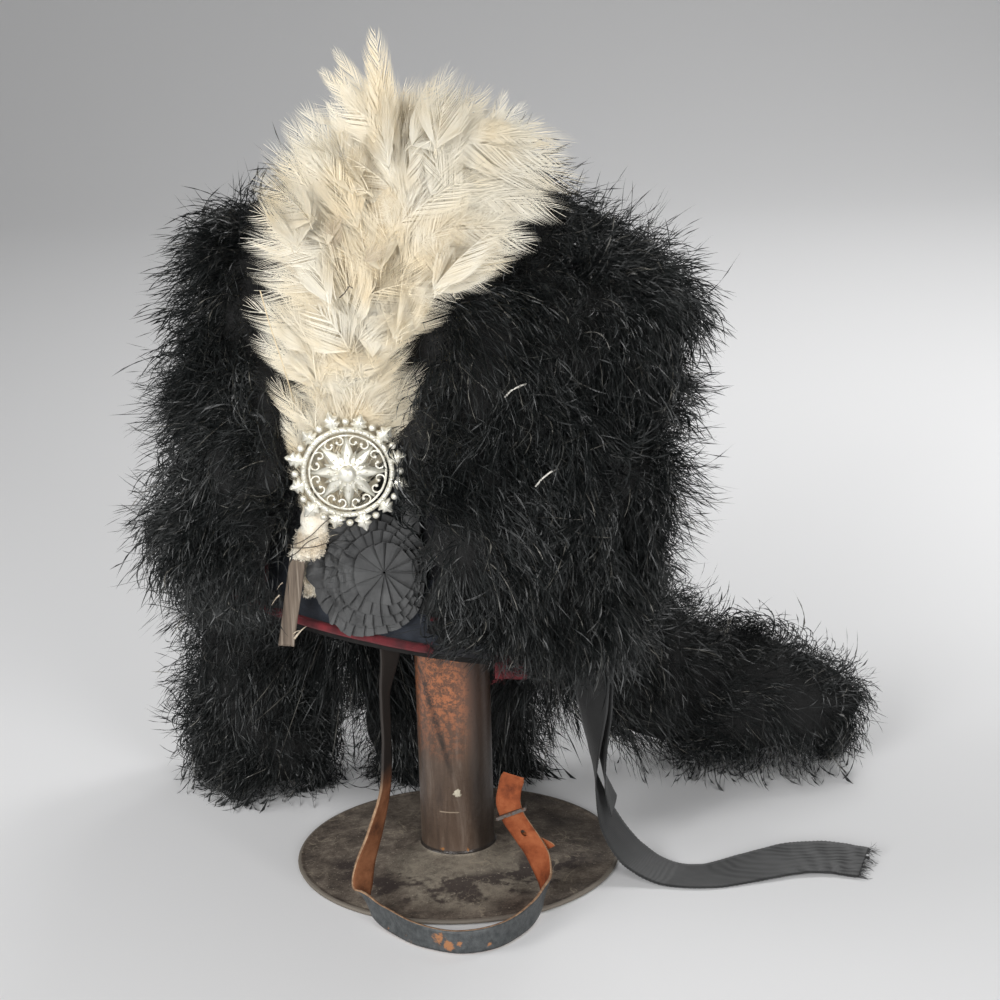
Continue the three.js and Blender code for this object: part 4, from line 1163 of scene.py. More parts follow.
def add_feathers(name, random, layout, per_side, material):
    """Whole feathers: a shaft, and soft barbs on both sides of it."""
    outward = layout[3]
    count = len(outward)
    barbs = np.concatenate([vane(random, layout, hand, per_side) for hand in (-1, 1)])
    first = 5 * np.arange(len(barbs))[:, None]
    faces = [first + [0, 1, 3, 2], first + [2, 3, 4]]
    middle, tangent = shaft_point(layout, np.tile(np.linspace(0.02, 0.97, 7), (count, 1)))
    side = unit(np.cross(tangent, outward[:, None]))
    middle = middle + np.cross(side, tangent) * 0.2
    thin = np.linspace(0.4, 0.1, 7)[None, :, None]
    shaft = np.stack([middle - side * thin, middle + side * thin], 2)
    shaft_quads = (grid_faces(7, 2)[None] + 14 * np.arange(count)[:, None, None]).reshape(-1, 4)
    points, faces = merge([(barbs, faces), (shaft.reshape(-1, 3), [shaft_quads])])
    behind = outward[:, 1] > 0
    behind = np.concatenate([np.tile(np.repeat(behind, 5 * per_side), 2), np.repeat(behind, 14)])
    normals = unit(plume_outward(points, behind) + 0.07 * random.normal(size=points.shape))
    return piece(name, points, faces, material, "cream_feather", normals=normals)


def add_plume_down(layout):
    """Every feather's downy foot: loose soft barbs laid over its root."""
    random = np.random.default_rng(29)
    repeated = (np.repeat(column, DOWN_PER_FEATHER, axis=0) for column in layout[:4])
    root, start, end, outward = repeated
    count = len(root)
    side = unit(np.cross(start, outward))
    spans = (-2, 8), (-4, 4), (0.5, 3.5)
    back, aside, lift = (random.uniform(*span, (count, 1)) for span in spans)
    stray = random.normal(0, 0.2, (count, 3))
    root = root - start * back + side * aside + outward * lift
    first = start + stray - side * 0.06 * aside
    last = (start + end) / 2 + 1.6 * stray + side * 0.08 * aside
    down = hairs(root, first, last, random.uniform(10, 20, count), outward)
    strands("plume_down", down, random, 0.55, CREAM_FEATHER, "cream_feather")


def add_plume_strays():
    """A loose straw-coloured barb, and a dark thread caught in the hackle."""
    straw = [(-102, -150, 434), (-97, -151, 412), (-91, -148, 388), (-86, -140, 362)]
    thread = [(-55, -158, 430), (-52, -160, 433), (-49, -159, 437), (-47, -160, 436)]
    piece("plume_loose_barb", *tube_along(straw, 0.4), STRAW, "cream_feather")
    piece("plume_caught_thread", *tube_along(thread, 0.35), DARK_THREAD, "cream_feather")


def add_plume():
    add_plume_core()
    random = np.random.default_rng(23)
    layout = feather_layout(random, PLUME_COUNT, PLUME_TIPS, setbacks=(10, 19), forward=8)
    half = len(layout[0]) // 2
    for name, part in (("inner", slice(0, half)), ("outer", slice(half, None))):
        feathers = [column[part] for column in layout]
        add_feathers(f"plume_feathers_{name}", random, feathers, BARBS_PER_SIDE, CREAM_FEATHER)
    stained = feather_layout(random, 0, STAINED_TIPS, forward=7)
    per_side = STAINED_BARBS_PER_SIDE
    add_feathers("plume_feathers_stained", random, stained, per_side, STAINED_FEATHER)
    add_plume_down(layout)
    add_plume_strays()


# ---------------------------------------------------------------- strap and ribbons

STRAP = rows(
    "x y z turn tilt",
    (-34, -91.7, 216, 180, 0),
    (-35, -89.6, 198, -168, 0),
    (-38, -86.5, 178, -135, 0),
    (-42, -86, 150, -106, 0),
    (-43, -86, 121, -104, 0),
    (-45, -88, 88, -112, 0),
    (-52, -89, 58, -128, 0),
    (-60, -88, 35, -142, 15),
    (-62, -93, 19, -160, 50),
    (-56, -104, 13, -160, 80),
    (-45, -118, 10, -160, 90),
    (-24, -140, 8.8, -160, 90),
    (2, -152, 8.6, -160, 90),
    (27, -143, 8.8, -40, 90),
    (46, -119, 10, -40, 90),
    (56, -98, 13.5, -40, 80),
    (58, -81, 19, -40, 50),
    (54, -71, 29, -25, 15),
    (47, -68, 41, -12, 0),
    (39, -68, 55, -8, 0),
    (35, -69, 67, -4, 0),
    (36, -66, 76, 4, 0),
    (39, -62, 84, 8, 0),
)
RIBBON_LONG = rows(
    "x y z turn tilt",
    (80.2, -27, 178, -97, 0),
    (85, -26, 164, -68, 0),
    (91, -25, 146, -47, 0),
    (92, -24, 120, -56, 0),
    (92, -23, 92, -75, 0),
    (94, -23, 62, -92, 0),
    (102, -25, 34, -106, 0),
    (118, -34, 12, -116, 0),
    (138, -44, 2.6, -112, 0),
    (165, -49, 1.4, -95, 0),
    (196, -42, 3.6, -80, -6),
    (226, -34, 5.4, -80, -12),
    (250, -34, 5.0, -90, -11),
    (272, -41, 4.0, -102, -8),
)
RIBBON_SHORT = rows(
    "x y z turn tilt",
    (85, -24.5, 178, -92, 0),
    (89, -22.5, 164, -68, 0),
    (94.5, -21.5, 146, -50, 0),
    (96, -20.5, 120, -58, 0),
    (97, -20, 92, -76, 0),
    (100, -20, 62, -90, 0),
    (106, -21, 42, -98, 0),
)
STRAP_WIDTH, STRAP_THICKNESS, STRAP_COLUMNS, STRAP_RINGS = 15.6, 1.8, 9, 300
STRAP_HOLE = {"at": 0.832, "along": 2.6, "across": 1.7}  # its place as a share of the strap
STRAP_END = {"rows": slice(17, 21), "width": 10.4, "thickness": 1.5, "rings": 24, "columns": 5}
STRAP_END |= {"from": 0.02, "to": 0.42, "off": 3.0, "foot_off": 3.5, "foot_aside": 6.0}
RIBBON_WIDTH, RIBBON_THICKNESS, RIBBON_COLUMNS = 37.4, 0.6, 13
PICOT = {"pitch": 2.4, "depth": 0.7}  # the small teeth along a ribbon's edges


def smooth_line(points, shares):
    """Points and steps of the centripetal Catmull-Rom line through the given points."""
    points = np.concatenate([[2 * points[0] - points[1]], points, [2 * points[-1] - points[-2]]])
    place = np.clip(shares, 0, 1) * (len(points) - 3)
    first = np.minimum(place.astype(int), len(points) - 4)
    t = (place - first)[:, None]
    a, b, c, d = (points[first + step] for step in range(4))
    before, here, after = (
        np.sqrt(np.linalg.norm(end - start, axis=-1, keepdims=True))
        for start, end in ((a, b), (b, c), (c, d))
    )
    leave = (b - a) / before * here - (c - a) / (before + here) * here + (c - b)
    reach = (c - b) - (d - b) / (here + after) * here + (d - c) / after * here
    square = -3 * b + 3 * c - 2 * leave - reach
    cube = 2 * b - 2 * c + leave + reach
    return b + leave * t + square * t**2 + cube * t**3, leave + 2 * square * t + 3 * cube * t**2


def band_frame(table, shares):
    """Centres, directions, width directions and face directions along a band."""
    centre, along = smooth_line(stack(table["x"], table["y"], table["z"]), shares)
    along = unit(along)
    turn, tilt = np.radians(table["turn"]), np.radians(table["tilt"])
    headings = stack(np.cos(turn) * np.cos(tilt), np.sin(turn) * np.cos(tilt), np.sin(tilt))
    place = np.clip(shares, 0, 1) * (len(headings) - 1)
    first = np.minimum(place.astype(int), len(headings) - 2)
    blend = (place - first)[:, None]
    width = headings[first] * (1 - blend) + headings[first + 1] * blend
    width = unit(width - along * (width * along).sum(-1, keepdims=True))
    return centre, along, width, np.cross(width, along)


def band_points(table, shares, half_width, thickness, columns, bow):
    """Rings of a closed band: columns over its front, then columns back over its back.

    half_width is a number for every ring and side; bow is how far each column stands out.
    """
    centre, _, width, face = (part[:, None] for part in band_frame(table, shares))
    across = np.linspace(-1, 1, columns)
    reach = np.where(across < 0, half_width[:, :1], half_width[:, 1:]) * across
    front = centre + width * reach[..., None] + face * (bow + thickness / 2)[..., None]
    back = centre + width * reach[..., None] + face * (bow - thickness / 2)[..., None]
    return np.concatenate([front, back[:, ::-1]], 1)


def band_faces(rings, columns):
    """Faces of band_points, and which are front (0), edge (1) and back (2)."""
    sides = grid_faces(rings, 2 * columns, loop_v=True)
    kind = np.ones(2 * columns, int)
    kind[: columns - 1] = 0
    kind[columns : 2 * columns - 1] = 2
    low = np.arange(columns - 1)
    cap = np.stack([low, low + 1, 2 * columns - 2 - low, 2 * columns - 1 - low], -1)
    last = cap[:, ::-1] + (rings - 1) * 2 * columns
    kinds = np.concatenate([np.tile(kind, rings - 1), np.ones(2 * len(cap), int)])
    return np.concatenate([sides, cap, last]), kinds


def line_length(table):
    centre, _ = smooth_line(stack(table["x"], table["y"], table["z"]), np.linspace(0, 1, 400))
    return np.linalg.norm(np.diff(centre, axis=0), axis=-1).sum()


def leather_band(name, points, columns, replaces=()):
    """A band of leather: suede side, cut edges and dyed side."""
    faces, kinds = band_faces(len(points), columns)
    return piece(name, points, [faces], LEATHER_LOOKS, "tan_leather", replaces, looks=kinds)


def band_place(table, share):
    """Centre and directions at one share of a band's length."""
    return [part[0] for part in band_frame(table, np.array([share]))]


def punch_hole(strap):
    centre, along, width, face = band_place(STRAP, STRAP_HOLE["at"])
    ring = turns(20)[:, None]
    rim = centre + STRAP_HOLE["along"] * np.cos(ring) * along
    rim = rim + STRAP_HOLE["across"] * np.sin(ring) * width
    drill = np.concatenate([rim + 5 * face, rim - 5 * face])
    cutter = add_mesh("hole_cutter", drill, tube_faces(2, len(ring)), LEATHER_LOOKS[0])
    face_outwards(cutter)
    cut = strap.modifiers.new("hole", "BOOLEAN")
    cut.object, cut.solver = cutter, "EXACT"
    apply_modifiers(strap)
    bpy.data.objects.remove(cutter)


def add_strap():
    shares = np.linspace(0, 1, STRAP_RINGS)
    run = stack(shares * 500, 0, 0)
    half = STRAP_WIDTH / 2 + 0.25 * np.stack([lumps(run, 16, 41), lumps(run, 16, 42)], -1)
    half *= (1 - 0.10 * smoothstep(shares, 0.985, 1.0))[:, None]
    across = np.linspace(-1, 1, STRAP_COLUMNS)
    cupped = 0.55 * np.sin(shares * 37)[:, None] * (across**2 - 0.4)[None]
    waved = 0.5 * lumps(run, 24, 43)[:, None]
    thick = np.full((STRAP_RINGS, STRAP_COLUMNS), STRAP_THICKNESS)
    points = band_points(STRAP, shares, half, thick, STRAP_COLUMNS, cupped + waved)
    punch_hole(leather_band("strap_leather", points, STRAP_COLUMNS, ["chin_strap"]))


def add_strap_end():
    """The strap's end beyond the buckle, turned back along its dyed side."""
    near = {name: column[STRAP_END["rows"]] for name, column in STRAP.items()}
    rings, columns = STRAP_END["rings"], STRAP_END["columns"]
    shares = np.linspace(STRAP_END["from"], STRAP_END["to"], rings)
    off = -STRAP_END["off"] - STRAP_END["foot_off"] * (1 - smoothstep(shares, 0.02, 0.3))
    half = np.full((rings, 2), STRAP_END["width"] / 2)
    thick = np.full((rings, columns), STRAP_END["thickness"])
    points = band_points(near, shares, half, thick, columns, np.tile(off[:, None], columns))
    _, _, width, _ = band_frame(near, shares)
    aside = STRAP_END["foot_aside"] * (1 - smoothstep(shares, 0.0, 0.4))
    points += (width * aside[:, None])[:, None]
    leather_band("strap_end_turned_back", points, columns)


def ribbon_points(table, steps, seed, end_ruck):
    shares = np.linspace(0, 1, steps)
    length = line_length(table)
    run = shares * length
    tooth = PICOT["depth"] * np.abs(np.sin(run * math.pi / PICOT["pitch"]))
    half = np.stack([RIBBON_WIDTH / 2 - tooth, RIBBON_WIDTH / 2 - tooth[::-1]], -1)
    across = np.linspace(-1, 1, RIBBON_COLUMNS)
    place = stack(run[:, None], across[None] * RIBBON_WIDTH / 2, seed)
    bow = 0.35 * lumps(place, 26, seed) + 0.12 * lumps(place, 7, seed + 1)
    bow = bow + 0.5 * end_ruck * smoothstep(shares, 0.72, 1.0)[:, None] * lumps(place, 13, seed + 2)
    thick = np.full((steps, RIBBON_COLUMNS), RIBBON_THICKNESS)
    return band_points(table, shares, half, thick, RIBBON_COLUMNS, bow), length


def add_ribbons():
    for name, table, steps, seed, end_ruck in (
        ("long", RIBBON_LONG, 420, 51, 1.0),
        ("short", RIBBON_SHORT, 170, 52, 0.3),
    ):
        points, length = ribbon_points(table, steps, seed, end_ruck)
        points[..., 2] = np.maximum(points[..., 2], 0.25)
        faces, _ = band_faces(steps, RIBBON_COLUMNS)
        look = RIBBON_SILK, "silk_ribbon", [f"ribbon_{name}"]
        ribbon = piece(f"{name}_ribbon", points, [faces], *look)
    random = np.random.default_rng(53)
    count = 150
    spots = random.uniform(-1, 1, count)
    centre, along, width, face = band_place(RIBBON_LONG, 0.997)
    root = centre + width * (spots * RIBBON_WIDTH / 2)[:, None]
    stray = random.normal(0, 0.35, (count, 3))
    lengths = random.uniform(2, 9, count) * (0.6 + 0.8 * np.abs(np.sin(spots * 5)))
    start, end = along + stray * 0.5, along + stray * 2 - face * 0.1
    threads = hairs(root, start, end, lengths, np.tile(face, (count, 1)))
    strands("ribbon_end_threads", threads, random, 0.4, RIBBON_SILK, "silk_ribbon")


# ---------------------------------------------------------------- band, welt and crown


def ring_band(low, high, outer, inner, steps_up, wear, seed, turn_from=-180.0, turn_to=180.0):
    """A closed band round the crown between two heights, as rings across it."""
    closed = turn_to - turn_from >= 360
    count = int(2.2 * (turn_to - turn_from) / 3.0)  # about every 1.4 degrees
    angles = np.radians(np.linspace(turn_from, turn_to, count, endpoint=not closed))
    ups = np.linspace(0, 1, steps_up)
    out = np.repeat([outer, inner], steps_up)
    bulge = np.concatenate([np.sqrt(1 - (2 * ups - 1) ** 4), np.ones(steps_up)])
    climb = low + ups * (high - low)
    rise = np.concatenate([climb, climb[::-1]])
    angle, column = grid(angles, np.arange(2 * steps_up))
    offset = inner + (out - inner)[column] * bulge[column]
    points = crown_point(rise[column], angle, offset)
    ragged = wear * lumps(points, 9, seed) * np.where(np.abs(rise[column] - high) < 0.01, 1, 0.25)
    points[..., 2] += ragged
    faces = grid_faces(count, 2 * steps_up, loop_u=closed, loop_v=True)
    if closed:
        return points, [faces]
    caps = np.arange(2 * steps_up)[None]
    return points, [faces, caps[:, ::-1], caps + (count - 1) * 2 * steps_up]


# Heights above the rim and distances off the crown of the bands round it.
BAND = {"low": 7, "high": 51, "outer": 2.2, "inner": 0.5, "steps_up": 9}
DICE = {"low": 23, "high": 37, "outer": 3.0, "inner": 2.2, "steps_up": 5}
WELT = {"low": 0.2, "high": 6.6, "outer": 3.4, "inner": 0.4, "steps_up": 7}
WELT_SCRAP = {"low": -11, "high": 3, "outer": 3.4, "inner": 2.4, "steps_up": 7}
DICE_PLACES = {"count": 6, "first": -135, "half_turn": 2.3}
TORN = (-77.0, -51.5)  # the welt's torn gap, in degrees round the crown


def add_band():
    band = ring_band(**BAND, wear=0.5, seed=61)
    face_outwards(piece("band_cloth", *band, NAVY_CLOTH, "navy_cloth", ["headband"]))
    half = DICE_PLACES["half_turn"]
    middles = DICE_PLACES["first"] + np.arange(DICE_PLACES["count"]) * 360 / DICE_PLACES["count"]
    dices = [
        ring_band(**DICE, turn_from=middle - half, turn_to=middle + half, wear=0.4, seed=62)
        for middle in middles
    ]
    face_outwards(piece("band_dices", *merge(dices), RED_CLOTH, "red_cloth"))


def add_welt():
    torn_from, torn_to = TORN
    welt = ring_band(**WELT, turn_from=torn_to, turn_to=torn_from + 360, wear=0.35, seed=63)
    face_outwards(piece("welt_cloth", *welt, RED_CLOTH, "red_cloth", ["rim_welt"]))
    edges = {"turn_from": torn_to - 1.5, "turn_to": torn_to + 13}
    scrap = ring_band(**WELT_SCRAP, **edges, wear=1.6, seed=64)
    face_outwards(piece("welt_torn_scrap", *scrap, RED_CLOTH, "red_cloth"))
    random = np.random.default_rng(65)
    count = 240
    side = random.integers(0, 2, count)
    turn = np.radians(np.where(side, torn_to + random.uniform(-1.5, 3, count), torn_from - 0.2))
    rise = np.where(side, random.uniform(-14, 6, count), random.uniform(0.5, 6.4, count))
    root = crown_point(rise, turn, 2.6)
    around = stack(np.sin(turn), -np.cos(turn), 0) * np.where(side, 1, -1)[:, None]
    outward = stack(np.cos(turn), np.sin(turn), 0)
    stray = random.normal(0, 0.4, (count, 3))
    start, end = around + outward * 0.2 + stray, around * 0.5 + [0, 0, -0.8] + stray * 2
    threads = hairs(root, start, end, random.uniform(1.5, 6, count), outward)
    strands("welt_torn_threads", threads, random, 0.35, RED_CLOTH, "red_cloth")


# ---------------------------------------------------------------- hackle's foot

SLEEVE = {"x": -86, "z": 255, "top_x": -76, "top_z": 289, "y": -113, "width": 9.5, "depth": 6.8}
STEM = {"x": -91, "z": 254.5, "foot_x": -101, "foot_z": 198, "y": -113, "width": 10.5, "depth": 4}
PLUME_CLOTH = {"x": -80, "y": -100.9, "z": 240, "width": 19, "height": 26, "thickness": 1.6}
SLEEVE_THREADS = (
    (
        (-96, -119, 266), (-90, -121.4, 267.5), (-82, -121.8, 272), (-74, -120, 279),
        (-66, -118, 285),
    ),
    ((-97, -118, 264), (-88, -121.3, 264.4), (-79, -121, 265), (-70, -117.5, 266.5)),
    ((-95, -118.6, 258), (-90, -121, 262), (-84, -121.6, 268), (-77, -120.8, 271)),
)
SPLINTERS = (  # start, end and thickness
    ((-95.6, -115.2, 203), (-87.5, -117, 211.5), 0.9),
    ((-96.4, -115.2, 206), (-91, -118, 209), 0.5),
    ((-103.2, -114.8, 232), (-108.5, -117, 226), 0.6),
    ((-101.0, -114.8, 240), (-104.5, -116.5, 236), 0.4),
)


def add_sleeve():
    ups, around = 46, 48
    share, turn = grid(np.linspace(0, 1, ups), turns(around))
    waist = np.exp(-(((share - 0.62) / 0.05) ** 2))
    foot_wrap = 1 + 0.10 * (1 - smoothstep(share, 0.0, 0.4)) - 0.12 * waist
    rounding = np.sqrt(np.clip(1 - (1 - np.minimum(share / 0.10, 1)) ** 2, 0.12, 1))
    x = SLEEVE["x"] + (SLEEVE["top_x"] - SLEEVE["x"]) * share
    x = x + SLEEVE["width"] * foot_wrap * rounding * np.cos(turn)
    y = SLEEVE["y"] + SLEEVE["depth"] * foot_wrap * rounding * np.sin(turn)
    z = SLEEVE["z"] + (SLEEVE["top_z"] - SLEEVE["z"]) * share
    points = stack(x, y, z)
    outward = unit(stack(np.cos(turn), np.sin(turn), 0))
    fluffy = 1 - smoothstep(share, 0.35, 0.6)
    points = points + outward * ((0.35 + 0.5 * fluffy) * lumps(points, 3.2, 71))[..., None]
    look = FLEECE, "cream_cloth", ["plume_sleeve"]
    face_outwards(piece("sleeve_fleece", points, tube_faces(ups, around), *look))
    random = np.random.default_rng(72)
    count, woolly_rings = 2600, 24
    pick = random.integers(0, woolly_rings * around, count)
    root = points.reshape(-1, 3)[pick] + random.normal(0, 0.5, (count, 3))
    away = outward.reshape(-1, 3)[pick]
    stray = random.normal(0, 0.7, (count, 3))
    start, end = away * 1.2 + stray * 0.6, away * 0.2 + stray * 1.6 + [0, 0, -0.5]
    wool = hairs(root - away * 0.6, start, end, random.uniform(1.6, 3.6, count), away)
    strands("sleeve_wool", wool, random, 0.5, FLEECE, "cream_cloth", 3)
    threads = [
        tube_along(smooth_line(np.array(line, float), np.linspace(0, 1, 24))[0], 0.28)
        for line in SLEEVE_THREADS
    ]
    piece("sleeve_threads", *merge(threads), DARK_THREAD, "steel_wire")


def add_plume_cloth():
    ups, columns = 26, 20
    share, across = grid(np.linspace(0, 1, ups), np.linspace(-1, 1, columns))
    size = PLUME_CLOTH
    x = size["x"] + size["width"] / 2 * across * (0.94 + 0.06 * share)
    z = size["z"] + size["height"] * (share - 0.5)
    front = stack(x, size["y"] - size["thickness"] / 2, z)
    front[..., 1] += 0.35 * lumps(front, 7, 73)
    back = front + [0, size["thickness"] * 0.8, 0]
    front[0, :, 2] += 0.8 * lumps(front[0], 4, 74)
    back[0, :, 2] = front[0, :, 2]
    ring = np.concatenate([front, back[:, ::-1]], 1)
    faces, _ = band_faces(ups, columns)
    cloth = piece("plume_foot_cloth", ring, [faces], FLEECE, "cream_cloth", ["plume_cloth"])
    face_outwards(cloth)
    random = np.random.default_rng(75)
    count = 700
    spot = random.uniform(-1, 1, count)
    height = size["z"] - size["height"] / 2 + random.exponential(2.2, count)
    root = stack(size["x"] + size["width"] / 2 * spot, size["y"] - 0.4, height)
    stray = random.normal(0, 0.5, (count, 3))
    start, end = stray * 0.7 + [0, -0.5, -0.8], stray * 1.6 + [0, -0.1, -0.6]
    near = np.tile([0.0, -1.0, 0.0], (count, 1))
    wool = hairs(root, start, end, random.uniform(1.6, 4.0, count), near)
    strands("plume_foot_wool", wool, random, 0.45, FLEECE, "cream_cloth", 3)


def add_stem():
    ups, around = 60, 28
    share, turn = grid(np.linspace(0, 1, ups), turns(around))
    square = (np.abs(np.cos(turn)) ** 6 + np.abs(np.sin(turn)) ** 6) ** (-1 / 6)
    half_width, half_depth = STEM["width"] / 2 - 0.2, STEM["depth"] / 2 - 0.2
    x = STEM["foot_x"] + (STEM["x"] - STEM["foot_x"]) * share + half_width * square * np.cos(turn)
    y = STEM["y"] + half_depth * square * np.sin(turn)
    z = STEM["foot_z"] + (STEM["z"] - STEM["foot_z"]) * share
    points = stack(x, y, z)
    grain = stack(x + 0.18 * (z - 200) * -1, y, z / 14)
    outward = stack(np.cos(turn), np.sin(turn), 0)
    points = points + outward * (0.22 * lumps(grain, 1.8, 76))[..., None]
    ragged = lumps(stack(points[0, :, 0], points[0, :, 1], 0), 3.0, 77)
    points[0, :, 2] += 1.1 * ragged - 0.5 * np.cos(turn[0])
    points[1, :, 2] += 0.6 * ragged
    look = WEATHERED_WOOD, "weathered_wood", ["plume_stem"]
    face_outwards(piece("stem_wood", points, tube_faces(ups, around), *look))


def add_splinters():
    steps, sides = 8, 5
    splinters = []
    for start, end, width in SPLINTERS:
        start, end = np.array(start, float), np.array(end, float)
        line = start + (end - start) * np.linspace(0, 1, steps)[:, None]
        line[:, 2] += 0.8 * np.sin(np.linspace(0, 3, steps))
        points, faces = tube_along(line, 1.0, sides)
        thinning = np.repeat(np.linspace(width, 0.12, steps), sides)[:, None]
        centre = np.repeat(line, sides, 0)
        splinters.append((centre + (points - centre) * thinning, faces))
    piece("stem_splinters", *merge(splinters), SPLINTER_WOOD, "weathered_wood")


# ---------------------------------------------------------------- badge

BADGE = {"place": (-57, -123.2, 313), "ring": 27, "inner_ring": 23.4, "leaves": 12, "points": 8}
# Beads on the badge: how many in a ring, how far out or in front they lie, and their radius.
RIM_BEADS = {"count": 36, "front": -2.3, "size": 1.25}
STAR_BEADS = rows("count radius size", (14, 7.2, 0.95), (16, 11.6, 0.8))
LEAF_LENGTHS, LEAF_WIDTH = (11.2, 13.5), 4.6
STARS = {"large": (25.5, 11, 5.0), "small": (15.5, 7.5, 3.0)}  # tip, waist and rise
SCROLLS = {"radius": 19.5, "apart": 3.1, "size": 3.4}


def relief(outline, rise, rim, steps=7):
    """A cast shape with a domed face: rings shrink from the outline to its middle and rise."""
    outline = np.asarray(outline, float)
    middle = outline.mean(0)
    parts = [stack(outline[:, 0], rim, outline[:, 1])]
    for share in np.linspace(0, 0.94, steps):
        ring = outline + (middle - outline) * share
        front = -rise * math.sin(math.pi / 2 * share) ** 0.8
        parts.append(stack(ring[:, 0], front, ring[:, 1]))
    return np.concatenate(parts), tube_faces(len(parts), len(outline))


def ball(centre, radius, squash=1.0, rings=7, sides=10):
    """A bead, squashed towards the badge."""
    up, turn = grid(np.linspace(-1, 1, rings) * math.pi / 2 * 0.97, turns(sides))
    x, y, z = np.cos(up) * np.cos(turn), -np.sin(up) * squash, np.cos(up) * np.sin(turn)
    points = (stack(x, y, z) * radius).reshape(-1, 3)
    return points + np.asarray(centre, float), tube_faces(rings, sides)


def turned(part, angle):
    """A badge part turned about the badge's middle, in the badge's plane."""
    points, faces = part
    c, s = math.cos(angle), math.sin(angle)
    x, y, z = points.T
    return stack(c * x - s * z, y, s * x + c * z), faces


def moved(part, by):
    points, faces = part
    return points + np.asarray(by, float), faces


def badge_places(count, radius, phase=0.0):
    """The angles and the middles of count parts set evenly round the badge."""
    for number in range(count):
        turn = TURN * (number + phase) / count
        yield turn, np.array([math.cos(turn), 0, math.sin(turn)]) * radius


def leaf_part(length, width):
    """A lobed leaf along +X from the origin, with a raised vein."""
    along = np.linspace(0, 1, 22)
    edge = width * np.sin(math.pi * along**0.8) * (1 + 0.22 * np.sin(along * 22))
    one_side = np.stack([along * length, edge], -1)
    outline = np.concatenate([one_side, (one_side * [1, -1])[-2:0:-1]])
    blade = relief(outline, 2.4, 1.1, 6)
    vein_at = np.linspace(0.03, 0.93, 14)
    vein_rise = -2.6 * np.sin(math.pi * np.clip(vein_at, 0.2, 0.8)) - 0.1
    vein = stack(vein_at * length, vein_rise, 0)
    return merge([blade, tube_along(vein, 0.5, 5)])


def star_part(points_count, tip, waist, rise):
    """A faceted star: each point is a ridge with two slopes."""
    turn = np.arange(2 * points_count) * math.pi / points_count
    radius = np.where(np.arange(2 * points_count) % 2 == 0, tip, waist)
    front = stack(radius * np.cos(turn), 0, radius * np.sin(turn))
    inner = front * 0.62 + [0, -rise * 0.55, 0]
    inner[1::2, 1] = -rise * 0.2
    top = front * 0.22 + [0, -rise, 0]
    back = front * [0.97, 1, 0.97] + [0, 1.2, 0]
    return np.concatenate([back, front, inner, top]), tube_faces(4, 2 * points_count)


def scroll_part(size, hand):
    """A small C-shaped tendril with a ball at its end."""
    sweep = np.linspace(0.2, 4.6, 26)
    radius = size * (1 - sweep / 7.5)
    line = np.stack([radius * np.cos(sweep), 0.2 * sweep - 1, hand * radius * np.sin(sweep)], -1)
    return merge([tube_along(line, 0.62, 6), ball(line[-1], 1.25, 0.8, 6, 8)])


def add_badge():
    """The badge, one casting: a beaded ring with leaves and berries, a double star and scrolls."""
    ring_turn = np.linspace(0, TURN, 121)
    ring = stack(BADGE["ring"] * np.cos(ring_turn), -0.6, BADGE["ring"] * np.sin(ring_turn))
    inward = BADGE["inner_ring"] / BADGE["ring"]
    parts = [tube_along(ring, 1.7, 8), tube_along(ring * [inward, 1, inward], 0.8, 6)]
    for _, place in badge_places(RIM_BEADS["count"], BADGE["ring"]):
        place[1] = RIM_BEADS["front"]
        parts.append(ball(place, RIM_BEADS["size"], 0.9, 6, 8))
    leaves = badge_places(BADGE["leaves"], BADGE["ring"] - 0.8, 0.5)
    berries = badge_places(BADGE["leaves"], BADGE["ring"] + 5.2)
    for number, ((turn, foot), (_, berry)) in enumerate(zip(leaves, berries)):
        leaf = leaf_part(LEAF_LENGTHS[number % 2], LEAF_WIDTH)
        parts.append(moved(turned(leaf, turn), foot))
        parts.append(ball(berry + [0, -1.0, 0], 2.3, 0.9))
    parts.append(star_part(BADGE["points"], *STARS["large"]))
    small_star = star_part(BADGE["points"], *STARS["small"])
    parts.append(turned(moved(small_star, (0, -2.2, 0)), math.pi / BADGE["points"]))
    for count, radius, size in zip(*STAR_BEADS.values()):
        for _, place in badge_places(int(count), radius):
            parts.append(ball(place + [0, -5.4 + 0.14 * radius, 0], size, 1, 5, 7))
    parts.append(ball((0, -4.6, 0), 5.6, 0.75, 12, 24))
    for turn, place in badge_places(BADGE["points"], SCROLLS["radius"], 0.5):
        for hand in (-1, 1):
            side = np.array([-math.sin(turn), 0, math.cos(turn)]) * hand * SCROLLS["apart"]
            parts.append(moved(turned(scroll_part(SCROLLS["size"], hand), turn), place + side))
    points, faces = moved(merge(parts), BADGE["place"])
    face_outwards(piece("badge_casting", points, faces, WHITE_METAL, "white_metal", ["badge"]))


# ---------------------------------------------------------------- rosette

TIERS = rows(
    "x z width height",
    (-48, 241, 36.5, 42),
    (-45, 241, 30.5, 35),
    (-42, 242, 25, 28),
    (-38, 243, 19, 20.5),
)
ROSETTE = {"y": -103.3, "step": 2.6, "pleats": (30, 27, 23, 13), "inner": (0.62, 0.6, 0.5, 0.0)}
ROSETTE_TAB = {"x": -21, "y": -101.9, "z": 282, "width": 12, "height": 40}
PLEAT = rows("turn depth", (0.0, 0.0), (0.30, 1.5), (0.62, 2.2), (1.0, 2.7), (0.91, 0.6))


def pleat_folds(random, pleats):
    """Angles and depths of a ring of uneven knife pleats."""
    spread = np.cumsum(random.uniform(0.75, 1.25, pleats))
    starts = np.concatenate([[0], spread]) / spread[-1] * TURN
    depth = np.concatenate([PLEAT["depth"] * random.uniform(0.7, 1.15) for _ in range(pleats)])
    turn = starts[:-1, None] + PLEAT["turn"] * np.diff(starts)[:, None]
    return turn.ravel(), depth


